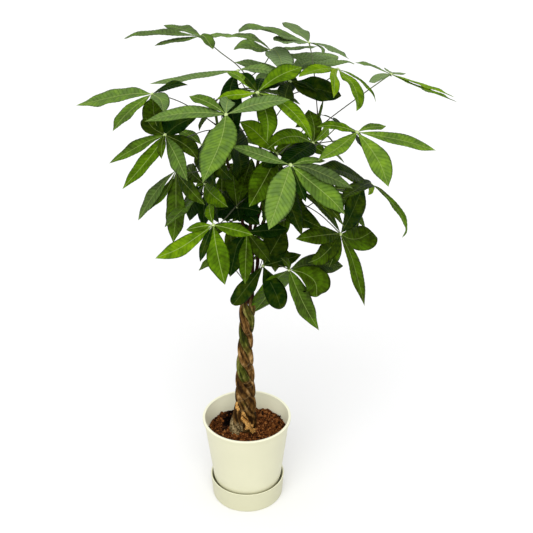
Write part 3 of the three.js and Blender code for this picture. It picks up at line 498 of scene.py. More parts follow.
# %% The leaves that the photograph shows
# name: hub pixel, depth, azimuth and tilt it faces, shoot and height it grows from, leaflets as
# rows of numbers for tip(), which is in the next cell
SEEN_LEAVES = {
    "top_left": (201, 36, 20, -150, 15, "front", 1165, [
        (124, 38.5, 34, 7, 38, 20, [180, 34.5, 160, 33, 147, 33.5, 136, 34.8], 35),
        (154, 46, 36, 5, 38, 20, [188, 39, 175, 41.3, 163, 43]),
        (164.5, 25, 40, 8.5, 38, 20, [190, 31.8, 180, 28.6], 60), (213, 49.5, 45, 10.5, 40, 10),
        (237, 37, 30, 4.5, 48, 40, [210, 35.8, 223, 35.8], 20)]),
    "top_middle": (271, 50, 80, -30, 10, "left", 1140, [
        (229, 35.5, 30, 5.5, 40, 25, [265, 45.5, 253, 38.6, 241, 35.4]),
        (233.5, 50, 42, 11, 48, 30, [262, 48.5, 248, 46.5, 240, 47.8]), (284, 72, 42, 24, 48, 75, [], 40),
        (318, 46.5, 34, 4, 48, 55, [287, 49.5, 303, 48]), (338, 58, 38, 6.5, 48, 50, [290, 56, 315, 58])]),
    "top_right": (309, 42.5, 60, 0, 15, "right", 1120, [
        (285.5, 22, 36, 9.5, 40, 45, [298.5, 32], 50),
        (238.5, 32.5, 34, 10.5, 40, 30, [286, 36.8, 270, 32, 256, 29, 246, 30]),
        (274, 40.5, 36, 7.5, 48, 60, [292, 41], 60),
        (349, 59, 34, 7, 48, 55, [320, 44.8, 331, 49.2, 340, 54]),
        (322, 54, 38, 3, 48, 50, [315, 44.5, 321, 48.5])]),
    "crown_back": (287, 72, 110, -45, 10, "back", 1120, [
        (234, 62, 34, 9, 48, 40, [268, 68.5, 250, 64.5]), (338, 56, 40, 12, 48, 50, [312, 60.5], 40),
        (355, 64, 34, 6, 48, 40, [315, 66, 338, 63, 348, 62.3]), (255, 80, 40, 9, 48, 50, [270, 75.5]),
        (291, 93, 40, 12, 8)]),
    "young_right": (338, 69, 20, -30, 30, "back", 1140, [
        (356.5, 111.5, 30, 12.5, 57, 0, [344, 75.5, 351.5, 82.5, 356, 91, 358, 101]),
        (333.5, 98, 34, 10.5, 74, 0, [335, 74, 334.5, 83]),
        (376, 102.5, 28, 2.6, 48, 0, [348, 73, 358, 79, 368, 88, 373.5, 95.5]),
        (298.5, 77, 34, 11.5, 64, 0, [327, 68.5, 313, 71], 0, -40)]),
    "far_right": (391, 74, 0, 15, 15, "right", 1090, [
        (355, 62.5, 30, 3.6, 48, 40, [381, 70, 372, 66.3, 363, 63.6]),
        (386, 68.5, 36, 3.5, 48, 70, [388, 71]), (406, 73.5, 36, 2.2, 48, 60, [398, 73.8]),
        (454.5, 97.3, 20, 2.8, 60, 0, [410, 81, 425, 86.4, 440, 91.5]),
        (457, 102, 20, 2.8, 48, 0, [410, 83.4, 425, 89.6, 440, 95.4]),
        (374.5, 83, 34, 9, 48, 60, [382, 76.5], 70)]),
    "crown_dark": (290, 81, -15, -30, 25, "front", 1150, [
        (341.5, 96, 34, 24, 15, 0, [304, 87, 321, 89.8], 20), (285, 105, 42, 18, 24, 0, [286, 93], 50),
        (317, 92, 36, 4, 8)]),
    "crown_bright": (257.5, 92.5, -120, -90, 30, "front", 1120, [
        (302, 67, 42, 17.5, 48, 0, [], 30), (226, 71.5, 36, 9, 56, 8, [246, 82.5, 236, 75]),
        (216.5, 99, 34, 9, 64, 0, [245, 94.2, 230, 95.5]), (240, 73, 36, 12, 8), (262, 78, 40, 11, 8),
        (281, 84, 30, 8, 8), (267, 141.5, 34, 19, 44, 0, [263.5, 105, 267.8, 122]),
        (312.5, 142, 30, 14.5, 60, 0, [273, 97.5, 286.5, 106.5, 297.5, 117, 306, 129])]),
    "front_left": (226, 114.5, -200, -105, 30, "front", 1070, [
        (144.5, 121.5, 30, 14.5, 48, 28, [200, 112.6, 172, 114.8], 0, 35), (189, 96, 36, 12, 48, 10),
        (229, 98, 40, 16, 48, 50), (290, 99.5, 30, 14.5, 48, 35, [250, 106, 268, 102]),
        (202.5, 183, 46, 31, 54, 20, [223.5, 131, 219, 146, 211.5, 163], 0, 45),
        (241, 184, 36, 20, 14, 0, [234, 135, 240, 160], 0, 0, 20)]),
    "far_left": (152, 94, -60, -150, 30, "left", 1080, [
        (76, 105.5, 28, 12, 51, 22, [138, 93.6, 122, 95.2, 100, 100.1], 0, 30),
        (112.5, 131.5, 32, 11, 45, 10, [142, 101, 130.5, 110.3, 121, 120]),
        (164, 113, 44, 16, 44, 35, [160.3, 99.8], 0, 50), (188, 85, 30, 6, 8, 0, [163, 88.5, 175, 85])]),
    "crown_left": (238, 70.5, -20, -105, 20, "front", 1150, [
        (149, 84, 30, 6.5, 48, 45, [225, 72, 205, 75, 185, 78.9, 165, 82]), (285, 76, 36, 9, 48, 40),
        (236, 141, 30, 22, 3, 0, [230.5, 88, 232.5, 112])]),
    "left_upper": (165, 135, -120, -120, 45, "left", 1060, [
        (152.5, 97, 50, 24, 28, 0, [157, 126, 154, 113], 60), (145, 117, 60, 18, 24, 0, [153, 128], 60),
        (109, 163.5, 30, 13.5, 36, 5, [148.5, 141, 131, 150.5], 0, 45),
        (122, 189.5, 34, 14, 42, 0, [155, 150.5, 142.5, 166], 0, 40), (161.5, 159, 40, 8.5, 24),
        (187.5, 181, 36, 17, 41, 16, [175.5, 155]), (176, 116, 50, 15, 8),
        (197.5, 159, 40, 18, 24, 0, [180.5, 142, 190.5, 149.5]),
        (198, 116, 40, 16, 10, 0, [179, 124], 0, 50)]),
    "left_lower": (176, 170, -120, -135, 55, "left", 970, [
        (138, 220.5, 26, 12, 30, 18, [162, 184, 149.5, 201]),
        (141, 214, 26, 8, 36, 0, [170, 184, 162, 196, 151, 206]),
        (173, 243, 30, 18.5, 29, 2, [176, 192, 175.8, 216], 0, 0, -165), (205, 205, 36, 14, 24)]),
    "left_inner": (205, 184, -60, -150, 65, "left", 880, [
        (164.5, 227.5, 20, 10, 36, 10, [193, 198, 179, 213], 0, 0, -230), (189.5, 221, 36, 16, 14),
        (219, 223, 36, 13, 8, 0, [212, 203]), (228, 207, 36, 18, 46), (187, 165, 36, 16, 24),
        (218, 167, 40, 14, 24)]),
    "front_bright": (213.5, 225, -220, -105, 55, "front", 920, [
        (155, 258.5, 30, 16.5, 63, 0, [197.5, 236.5, 178.7, 248.7]), (225, 285, 40, 23, 46),
        (253, 235, 36, 14, 48), (209, 204, 46, 11.5, 48), (200, 262, 30, 9.5, 8), (186, 230, 36, 9, 48)]),
    "front_middle": (290.5, 165, -230, -75, 50, "right", 940, [
        (268.5, 230, 48, 31, 60, 28, [285.8, 180, 278.5, 201.5], 0, 25),
        (231, 146, 32, 12, 43, 25, [270, 158.5, 250, 151.5]),
        (345, 214.5, 40, 25, 48, 14, [306, 178, 320, 189.5, 333.5, 201.5]),
        (344.5, 227, 30, 10, 24, 0, [305, 182.5, 320.5, 198.5, 334, 212.5]),
        (306, 202, 30, 12, 8, 0, [296, 177, 301, 190]), (326, 161, 34, 8, 48, 15, [308, 160.5]),
        (353, 188.5, 30, 14, 24, 20, [307, 167.5, 322, 173.5, 338, 181])]),
    "right_lower": (371, 184, -60, -15, 40, "right", 960, [
        (402, 238, 20, 5.5, 42, 0, [380, 189.8, 391.5, 202, 400.5, 214, 405.7, 229]),
        (318, 166, 34, 14, 24, 0, [358, 177.8, 342, 171]), (368, 195, 40, 6.5, 74), (340, 200, 34, 15, 24)]),
    "right_upper": (357, 132, -120, -45, 45, "right", 1050, [
        (317, 127, 32, 9.5, 48, 0, [345, 128, 330, 125.5]),
        (386.5, 126, 32, 8, 48, 10, [368, 127.7, 377, 126.8]),
        (436, 150.5, 26, 12.5, 58, 14, [385, 137, 408, 142]),
        (388.5, 187, 36, 23, 61, 14, [370.5, 148.5, 380.7, 165.3]),
        (318, 160.5, 34, 15.5, 60, 10, [338.5, 147.5], 0, 35)]),
    "right_big": (340.5, 234, -120, -45, 60, "right", 930, [
        (300, 190, 34, 7, 24), (364, 184, 36, 21, 16, 0, [351, 215]),
        (372, 231.5, 80, 29, 27, 0, [350.3, 238.8, 360.5, 238], 95),
        (364.7, 306, 28, 12.5, 26, 0, [350.5, 254.5, 355.7, 271.5, 360.2, 288.5], 0, 35),
        (308, 263, 34, 18, 24, 0, [331, 247, 320, 257.5], 0, 40),
        (329, 267, 40, 12, 30, 0, [336.3, 248, 333, 258], 0, 30), (295.5, 239, 34, 19, 28)]),
    "low_right": (289, 269.5, -160, -45, 65, "right", 760, [
        (343.5, 266, 34, 20, 24, 8, [305, 265, 325, 264]),
        (317, 297, 60, 29, 34, 0, [304.5, 273.5, 315, 282], 40, -40),
        (319, 330.5, 30, 19.5, 37, 5, [296.5, 288, 306, 308.5], 0, 40),
        (253, 312.8, 20, 20, 36, 0, [277.5, 279, 266, 297], 0, 35, 45), (281, 258, 40, 7, 24)]),
    "low_middle": (263, 266, -85, -90, 65, "front", 700, [
        (301.5, 254.5, 32, 14, 16), (281, 309, 46, 21.5, 6, 0, [269.5, 280.5, 276.5, 295], 80, 0, -165),
        (271, 300, 30, 8, 8), (233, 305, 44, 18, 18, 0, [], 85), (285, 228, 50, 26, 24)]),
    "inner_left": (237, 208.5, -60, -90, 40, "front", 860, [
        (232, 166, 40, 20, 30), (252, 158, 34, 18, 24), (222, 192, 40, 14, 8), (256, 190, 50, 15, 8),
        (262, 212, 42, 16, 6), (208, 213, 40, 17, 8), (260, 225, 40, 14, 8), (240, 222, 40, 12, 8),
        (224, 221, 50, 14, 8)]),
    "inner_middle": (277, 154, -120, -60, 50, "right", 960, [
        (249, 207, 42, 28, 36), (324, 229.5, 34, 26, 20, 0, [282, 189.5, 296, 213.5]),
        (302, 236, 36, 17, 18, 0, [284, 184, 293, 212]), (239.5, 121.5, 36, 20, 56, 0, [262, 138, 251, 128]),
        (310, 170, 40, 11, 8), (262, 167, 50, 17, 8), (263, 223, 36, 14, 13, 0, [271, 180, 267, 202])]),
    "inner_low": (247, 232, -100, -90, 65, "front", 800, [
        (245, 284, 36, 15, 38), (230, 277, 36, 20, 13, 0, [237.5, 245, 233.5, 260]), (270, 262, 40, 16, 19),
        (288, 229, 40, 16, 8), (221, 226, 40, 12, 8)]),
    "inner_right": (313, 143, -60, -30, 50, "right", 1040, [
        (267, 149, 28, 15, 48, 0, [298, 136.5, 282, 138.5]), (308.5, 109.5, 36, 16, 30),
        (279, 167, 45, 20, 5), (344.5, 163, 36, 3.5, 24, 30), (329, 127, 36, 9, 65)]),
    "inner_upper": (202, 145, -20, -150, 50, "left", 1020, [
        (178, 129.5, 36, 10, 42, 0, [190, 135.5]), (232, 180, 40, 20, 20), (232, 130, 40, 12, 24),
        (205, 176, 36, 12, 24), (217, 188, 40, 14, 12)]),
}
print("leaves read off the photograph:", len(SEEN_LEAVES))

# %% What a leaflet's row says
def tip(u, v, slim, wide, tone, bloom=0, via=(), blunt=0, early=0, deep=None):
    """One leaflet: the pixel of its tip, its width over its length, how many pixels wide it looks,
    its tone from dark to yellow green, which holds painted light and shade too, its painted grey
    sheen, the pixels that its midrib passes, how blunt its end is, how much nearer the hub it is
    widest, and the depth of its tip where the leaf's plane does not give it. Width, tone, painted
    sheen, blunt and early are given in per cent."""
    shares = {"slim": slim, "tone": tone, "bloom": bloom, "blunt": blunt, "early": early}
    return {"pixel": (u, v), "wide": wide, "via": list(zip(via[::2], via[1::2])), "deep": deep,
            **{name: share / 100 for name, share in shares.items()}}


print("the first leaflet:", tip(*SEEN_LEAVES["top_left"][-1][0]))

# %% The leaves inside and behind the crown
# hub pixel, depth, azimuth and tilt it faces, shoot and height it grows from, longest leaflet
HIDDEN_LEAVES = [
    (222, 172, 90, -90, 55, "left", 890, 95), (306, 126, 70, -10, 25, "front", 1000, 90),
    (330, 190, 20, -25, 35, "right", 840, 130), (296, 178, 60, -90, 55, "front", 800, 85),
    (254, 172, 20, -90, 55, "right", 890, 95), (354, 228, 40, -60, 60, "right", 1010, 60),
    (268, 243, 60, 55, 65, "left", 660, 105), (219, 105, 190, 155, 45, "left", 1040, 100),
    (258, 92, 230, 80, 30, "back", 960, 150), (294, 84, 230, 70, 25, "back", 1080, 95),
    (338, 125, 160, 15, 35, "back", 950, 150), (240, 140, 280, 120, 40, "left", 880, 150),
    (300, 140, 200, -90, 50, "left", 865, 100), (204, 194, 110, -90, 60, "back", 780, 85),
    (231, 222, 60, -90, 60, "right", 690, 85), (284, 205, 150, -90, 60, "back", 740, 85),
    (345, 202, 200, -60, 60, "back", 930, 85), (225, 255, 160, 110, 65, "left", 670, 105),
    (274, 252, 170, 85, 60, "right", 700, 85),
]
# Leaves placed by rule sit inside and behind the crown, and they get only these dark tones, as painted
# shade.
HIDDEN_SHADE_TONES = [8, 24, 36]
print("leaves placed by rule:", len(HIDDEN_LEAVES))

# %% Tips of leaflets
SHORTEST_LEAFLET, LONGEST_LEAFLET = 70.0, 200.0
FAN_LEAFLETS = 5
FAN_SPREAD = math.radians(250)
FAN_DROOP = 0.12
FAN_SLIMNESS = 38
FAN_SHORTEST = 0.28


def direction(azimuth, tilt):
    """Unit vector with a compass angle and an angle from upright, in degrees."""
    azimuth, tilt = math.radians(azimuth), math.radians(tilt)
    return np.array([math.sin(tilt) * math.cos(azimuth), math.sin(tilt) * math.sin(azimuth), math.cos(tilt)])


def seen_tip(hub, pixel, facing, deep):
    """Tip of a leaflet: where its pixel's sight line meets the leaf's plane, or if that makes it too
    long or too short, the point of the line at the limit's distance."""
    if deep is not None:
        return on_sight_line(pixel, deep)
    line, away = sight_line(pixel), hub - EYE
    nearest = away @ line
    on_plane = away @ facing / (line @ facing)
    length = np.linalg.norm(line * on_plane - away)
    wanted = min(max(length, SHORTEST_LEAFLET), LONGEST_LEAFLET)
    if wanted != length:
        closest = np.linalg.norm(line * nearest - away)
        offset = math.sqrt(max(wanted**2 - closest**2, 0))
        on_plane = nearest + offset * np.sign(on_plane - nearest)
    return EYE + line * on_plane


def fan_of(hub, facing, azimuth, tilt, reach):
    """Tips of a leaf that is placed by rule: a fan, longest straight out and down."""
    outward = direction(azimuth, tilt + 90)
    across = np.cross(facing, outward)
    angle = (np.arange(FAN_LEAFLETS) / (FAN_LEAFLETS - 1) - 0.5) * FAN_SPREAD
    length = reach * (FAN_SHORTEST + (1 - FAN_SHORTEST) * (1 + np.cos(angle)) / 2)
    return (hub + outward * (length * np.cos(angle))[:, None] + across * (length * np.sin(angle))[:, None]
            - facing * (length * FAN_DROOP)[:, None])


print("a leaf tilted half way to the viewer faces", direction(-90, 45).round(2))

# %% Midribs
LEAFLET_ARCH = 0.1
MIDRIB_POINTS = 41


def midrib_of(hub, tip_point, facing, via):
    """A leaflet's midrib: an arch over the straight line from hub to tip, or a smooth path through
    the pixels that it passes, at depths between those of the hub and the tip."""
    if via:
        share = np.arange(1, len(via) + 1) / (len(via) + 1)
        depths = hub[1] + (tip_point[1] - hub[1]) * share
        passed = [on_sight_line(pixel, depth) for pixel, depth in zip(via, depths)]
        return even(curve_through([hub, *passed, tip_point]), MIDRIB_POINTS)
    s = np.linspace(0, 1, MIDRIB_POINTS)[:, None]
    along = tip_point - hub
    length = np.linalg.norm(along)
    up = unit(facing - unit(along) * (facing @ unit(along)))
    return hub + along * s + up * length * LEAFLET_ARCH * np.sin(np.pi * s**0.85)


arch = midrib_of(np.zeros(3), np.array([150.0, 0, 0]), np.array([0, 0, 1.0]), [])
print("an arched midrib rises", arch[:, 2].max().round(1), "mm over 150 mm")

# %% How wide a blade looks
def turned_to_look(midrib, facing, width, wide):
    """A blade's true width and the directions across it and up from it along its midrib. A blade
    looks cos(b) of its width, where b is its roll away from the viewer. Half of what is too wide or
    narrow is mended in the width and half by the roll, towards the side that the leaf faces."""
    along = unit(np.gradient(midrib, axis=0))
    up = unit(facing - along * (along @ facing)[:, None])
    side = np.cross(along, up)
    if not wide:
        return width, side, up
    screen = unit(np.cross(unit(midrib - EYE), along))
    middle = len(midrib) // 2
    away = np.sign(facing @ screen[middle])
    looks = wide / FOCAL_PIXELS * ((midrib[middle] - EYE) @ FORWARD)
    natural = max(abs(side[middle] @ screen[middle]), 0.15) * width
    width = max(width * math.sqrt(min(looks / natural, 2.0)), looks)
    share = min(looks / width, 1)
    side = share * screen + math.sqrt(1 - share**2) * away * np.cross(along, screen)
    return width, side, np.cross(side, along)


CROWN_PIXEL = (267, 150)
crown_distance = (on_sight_line(CROWN_PIXEL, 0) - EYE) @ FORWARD
print("a pixel spans in the crown's middle:", round(crown_distance / FOCAL_PIXELS, 2), "mm")

# %% The outline of a leaflet
WIDEST_BY, POINTED_BY = 1.45, 1.15


def outline_of(s, blunt, early):
    """Half width of a leaflet over its greatest: s^a (1 - s)^b over its peak at s = a / (a + b), so
    that it is widest past the middle and ends in a point, or round for a blunt one."""
    a, b = WIDEST_BY - 0.35 * blunt - early, POINTED_BY - 0.72 * blunt
    peak = a / (a + b)
    return s**a * (1 - s)**b / (peak**a * (1 - peak)**b)


print("half widths along a pointed leaflet:", outline_of(np.linspace(0, 1, 6), 0, 0).round(2))

# %% The blade of a leaflet
VEIN_SPACING = 10.0
VEIN_LEAN = 0.62
RIPPLE = 1.0
BLADE_THICKNESS = 0.5
BLADE_FOLD = 0.17
RIB_DROP = 0.8
# shares of the midrib at which a blade's first and last row lie
FIRST_ROW, LAST_ROW = 0.02, 0.996
ACROSS_FINE = np.array([0, 0.05, 0.17, 0.36, 0.58, 0.8, 1.0])
ACROSS_PLAIN = np.array([0, 0.08, 0.35, 0.7, 1.0])


def leaflet(midrib, facing, part, rng, fine):
    """A leaflet's closed shell on a grid of rows s along the midrib and columns t across. A row
    leans forward as a side vein does, up to the edge at s + lean x half width / length. The blade
    is folded up along the rib, its edge waves slowly and it bulges by |sin(pi phase)| between two
    side veins, where the phase counts them."""
    station = lengths_along(midrib)
    length = station[-1]
    station = station / length
    width, side, up = turned_to_look(midrib, facing, part["slim"] * length, part["wide"])
    veins = max(6, round(length / VEIN_SPACING))
    a_vein = 4 if fine else 3
    s = np.linspace(FIRST_ROW, LAST_ROW, veins * a_vein + 1)
    t = ACROSS_FINE if fine else ACROSS_PLAIN
    t = np.concatenate([-t[:0:-1], t])
    out = np.abs(t)
    shape = part["blunt"], part["early"]
    at_edge = np.minimum(s + VEIN_LEAN * width / 2 * outline_of(s, *shape) / length, 1 - 0.3 * (1 - s))
    half = np.maximum(width / 2 * outline_of(at_edge, *shape), 0.2 + 1.1 * (1 - s)**3)
    reach = s[:, None] + (at_edge - s)[:, None] * out
    turn = (math.radians(rng.normal(0, 3)) + math.radians(rng.normal(0, 7)) * (station - 0.5))[:, None]
    up, side = up * np.cos(turn) + side * np.sin(turn), side * np.cos(turn) - up * np.sin(turn)
    centre, upward, sideward = (points_at(a, reach, station) for a in (midrib, up, side))
    phase = np.arange(len(s)) / a_vein
    bulge = RIPPLE * np.minimum(half / 16, 1) * np.abs(np.sin(np.pi * phase))
    wave = rng.uniform(1.2, 2.2) * s * 2 * np.pi + rng.uniform(0, 6)
    lift = (half[:, None] * (BLADE_FOLD * out - 0.1 * t**4)
            + bulge[:, None] * out**0.5 * (1 - 0.45 * out**3)
            + (half / 14 * np.sin(wave))[:, None] * t**2 * np.sign(t)
            + (half / 18 * np.sin(wave * 1.7))[:, None] * t**2)
    distance = out * half[:, None]
    flesh = BLADE_THICKNESS / 2 * np.sqrt(np.maximum(1 - out**6, 0))
    groove = 0.3 * np.exp(-(distance / 1.0)**2)
    ridge = RIB_DROP * np.exp(-(distance / 0.9)**2) * (1.1 - s)[:, None]
    flat = centre + sideward * (t * half[:, None])[..., None]
    above = flat + upward * (lift + flesh - groove)[..., None]
    below = flat + upward * (lift - flesh - ridge)[..., None]
    both = np.concatenate([out, out[-2:0:-1]])
    beneath = np.arange(len(both)) >= len(t)
    return shell(np.concatenate([above, below[:, -2:0:-1]], axis=1), beneath=beneath,
                 from_rib=both * half[:, None] + s[:, None] * 0.35, vein=phase[:, None],
                 tone=part["tone"] + rng.uniform(-0.03, 0.03), bloom=part["bloom"])


print("columns across a fine blade:", 2 * len(ACROSS_FINE) - 1)

# %% Where a stalk grows
def bud_of(name, height, hub):
    """Where a stalk grows: the shoot's surface at a height, on the hub's side, and the way out."""
    path = SHOOT_PATHS[name]
    level = path[:, 2]
    first, last = SHOOTS[name][1]
    height = np.clip(height, level[0] + 4, level[-1] - 8)
    below, centre, above = (points_at(path, height + step, level) for step in (-4, 0, 4))
    along = unit(above - below)
    outward = hub - centre
    outward = unit(outward - along * (outward @ along))
    share = np.interp(height, level, np.linspace(0, 1, len(path)))
    return centre + outward * (first + (last - first) * share - 1.0), outward


bud, _ = bud_of("front", 900, on_sight_line(CROWN_PIXEL, 0))
print("a bud on the front shoot:", bud.round(0))

# %% Stalk and hub of a leaf
STALK_RADIUS = 1.35
STALK_FOOT = 2.9
HUB_SIZE = 4.6
STALK_ROWS, STALK_SIDES, HUB_ROWS, HUB_SIDES = 22, 8, 9, 12
OUTWARD_SHARE, RISE_SHARE, RETURN_SHARE = 0.25, 0.2, 0.3


def stalk_shells(root, outward, hub, facing, passes, fine):
    """The stalk is a thin tube that leaves the shoot outwards and comes to the hub from behind, or
    passes given pixels. It swells at the foot and below the hub. The hub is a flattened ball."""
    span = np.linalg.norm(hub - root)
    bend = 1 if fine else 0.35
    path = bent_between(root, root + outward * span * OUTWARD_SHARE + [0, 0, span * RISE_SHARE * bend],
                        hub - facing * span * RETURN_SHARE * bend, hub, 60)
    if passes:
        # the first pixel lies 0.8 and the last one 0.35 of the way from the hub's depth to the root's
        between = [on_sight_line(pixel, hub[1] + (root[1] - hub[1]) * share)
                   for pixel, share in zip(passes, (0.8, 0.35))]
        path = curve_through([root, *between, hub])
    path = even(path, STALK_ROWS)
    share = np.linspace(0, 1, len(path))
    radius = (STALK_RADIUS + (STALK_FOOT - STALK_RADIUS) * np.exp(-share * span / 9)
              + 0.7 * np.exp(-(1 - share) * span / 8))
    reference = unit(np.cross(hub - root, facing) + 1e-3)
    stalk = shell(tube_rings(path, radius, STALK_SIDES, reference), 1, young=(share * 0.8)[:, None])
    polar = np.linspace(0.12, np.pi - 0.12, HUB_ROWS)
    ball = hub + facing * (np.cos(polar) * HUB_SIZE * 0.55)[:, None]
    # The hub is pale, but on leaves placed by rule, inside and behind the crown, it is painted darker as
    # painted shade.
    knob = shell(tube_rings(ball[::-1], np.sin(polar) * HUB_SIZE, HUB_SIDES, reference), 1,
                 young=0.95 if fine else 0.3)
    return [stalk, knob]


print("a stalk narrows from", STALK_FOOT, "to", STALK_RADIUS, "mm in radius")

# %% All the leaves
# Pixels that the stalks seen against the background pass, from the shoot to the hub
STALK_PIXELS = {
    "top_left": ((240, 68), (220, 52)), "top_right": ((314, 72), (311, 51)),
    "far_right": ((328, 120), (358, 97.5)), "far_left": ((190, 107), (170, 98)),
    "low_right": ((268, 261.5), (280, 265.5)), "right_big": ((316, 211.5), (330, 223.5)),
}
hidden_rng = np.random.default_rng(7)


def build_leaf(number, row, passes=()):
    """One leaf as one piece, in the place of its node: stalk, hub and leaflets. The row ends in its
    leaflets, or for a leaf that is placed by rule in the reach of its fan."""
    u, v, depth, azimuth, tilt, shoot, height, last = row
    rng = np.random.default_rng(1000 + number)
    hub, facing = on_sight_line((u, v), depth), direction(azimuth, tilt)
    fine = isinstance(last, list)
    if fine:
        parts = [tip(*leaflet_row) for leaflet_row in last]
        ends = [seen_tip(hub, part["pixel"], facing, part["deep"]) for part in parts]
    else:
        parts = [tip(0, 0, FAN_SLIMNESS, 0, hidden_rng.choice(HIDDEN_SHADE_TONES))] * FAN_LEAFLETS
        ends = fan_of(hub, facing, azimuth, tilt, last)
    shells = stalk_shells(*bud_of(shoot, height, hub), hub, facing, passes, fine)
    shells += [leaflet(midrib_of(hub, end, facing, part["via"]), facing, part, rng, fine)
               for end, part in zip(ends, parts)]
    make_piece(f"foliage_{number:02d}", shells, [LEAF, STALK], [f"leaf_{number:02d}"])


for number, (name, row) in enumerate(SEEN_LEAVES.items(), 1):
    build_leaf(number, row, STALK_PIXELS.get(name, ()))
for number, row in enumerate(HIDDEN_LEAVES, len(SEEN_LEAVES) + 1):
    build_leaf(number, row)
print("leaf triangles:", sum(triangle_counts))

# %% [markdown]
# ## Trunk
# The trunk is a plait of three stems, pressed so hard together that only narrow creases part
# them. It could be one lumpy column with painted creases, but those would hold no shadow. Each
# strand here is a round tube that passes in front of the others and behind them in turn. The
# points that stand out furthest are pushed back to one common outline, which flattens the
# strands as binding does. The creases are also darkened with painted shade. The bark is tan,
# brown and olive, and orange where it has peeled.

# %% Bark
def bark_finish():
    """Brown, tan and olive in streaks along each strand, painted shade in the creases, pale scars,
    peeled wood.
    """
    f = Finish("bark")
    drawn_out = f.node("Mapping", {"Vector": f.where, "Scale": (1, 1, 0.5)})
    patches = f.add(f.speckle(80, 5, 0.62, drawn_out), f.times(f.value("streak"), 0.24))
    colour = f.ramp(patches, (0.30, 0.018, 0.008, 0.002), (0.44, 0.070, 0.033, 0.007),
                    (0.58, 0.155, 0.078, 0.020), (0.78, 0.400, 0.250, 0.100))
    moss = f.stretch(f.add(f.value("moss"), f.speckle(34, 4)), 0.85, 1.25)
    green = f.ramp(patches, (0.3, 0.012, 0.016, 0.002), (0.5, 0.048, 0.060, 0.005),
                   (0.78, 0.190, 0.200, 0.045))
    colour = f.blend(f.times(moss, 0.95), colour, green)
    grit = f.speckle(420, 4, 0.65)
    root = f.ramp(f.speckle(190, 4, 0.7), (0.40, 0.035, 0.024, 0.008), (0.50, 0.230, 0.165, 0.070),
                  (0.62, 0.660, 0.530, 0.300))
    colour = f.blend(f.times(f.value("root"), 0.85), colour, root)
    colour = f.blend(f.stretch(grit, 0.52, 0.7, 0.0, 0.6), colour, (0.018, 0.009, 0.003))
    colour = f.blend(f.times(f.value("scar"), 0.3), colour, (0.290, 0.200, 0.090))
    wood = f.ramp(grit, (0.40, 0.080, 0.034, 0.010), (0.48, 0.520, 0.250, 0.055),
                  (0.58, 0.860, 0.500, 0.150), (0.72, 0.950, 0.760, 0.420))
    torn = f.add(f.value("peel"), f.times(patches, 0.8))
    colour = f.blend(f.stretch(torn, 0.66, 0.86), colour, wood)
    # Painted shade: where a strand touches another, its crease is darkened nearly to black.
    colour = f.blend(f.times(f.value("crease"), 0.9), colour, (0.009, 0.004, 0.001))
    shoot = f.value("shoot")
    young = f.ramp(shoot, (0.5, 0.030, 0.009, 0.006), (0.75, 0.030, 0.030, 0.008),
                   (1.0, 0.050, 0.085, 0.012))
    colour = f.blend(f.stretch(shoot, 0.1, 0.5), colour, young)
    height = f.add(f.times(patches, 1.2), f.times(grit, 0.6))
    return f.skin(colour, f.stretch(grit, 0.3, 0.7, 0.6, 0.85), 0.04, Normal=f.relief(height, 0.002, 0.8))


BARK = bark_finish()
print("nodes in the bark finish:", len(BARK.node_tree.nodes))

# %% Where the bark has peeled
# pixel and size in mm of the spots where the bark has peeled
PEELED = [(236.5, 403.5, 5.5), (237, 407, 6), (238.5, 409, 4.5), (243.5, 414, 6.5), (243.5, 418, 8),
          (245.5, 421, 9), (248, 424, 10), (250.5, 427, 10), (252.5, 430, 9), (246.5, 428, 6),
          (254, 433, 7)]


def peeled(points):
    """How near points are to the peeled patches, from 0 to 1, seen from the photograph's eye."""
    rays = unit(points - EYE)
    share = np.zeros(points.shape[:-1])
    for u, v, size in PEELED:
        away = np.linalg.norm(rays - sight_line((u, v)), axis=-1) * np.linalg.norm(points - EYE, axis=-1)
        share = np.maximum(share, np.exp(-(away / size)**2))
    return share * (points[..., 1] < 5)


print("peeled spots:", len(PEELED))

# %% Strands
STRAND_SIDES = 40
STRAND_ROWS = 420
STRAND_RADIUS = 0.25
TRUNK_HALF_WIDTH, TRUNK_HALF_DEPTH = 0.505, 0.44
STEM_BOTTOM = 150.0
TAPER_FROM, TAPER_TO = 590.0, 668.0
JOIN_FROM = 604.0
DARK_FROM, DARK_TO = 385.0, 325.0
ROOT_FROM, ROOT_TO, ROOT_EDGE = 262.0, 236.0, -11.0
# height and share of moss on each strand
STRAND_MOSS = [[(210, 0.2), (300, 0.2), (355, 0.1), (430, 0.15), (470, 0.4), (516, 0.8), (600, 0.5)],
               [(210, 0.3), (305, 0.4), (380, 0.2), (463, 0.05), (530, 0.85), (640, 0.5)],
               [(210, 0.1), (250, 0.05), (350, 0.1), (380, 0.3), (402, 0.9), (430, 1.0), (460, 0.4),
                (565, 0.0), (640, 0.3)]]


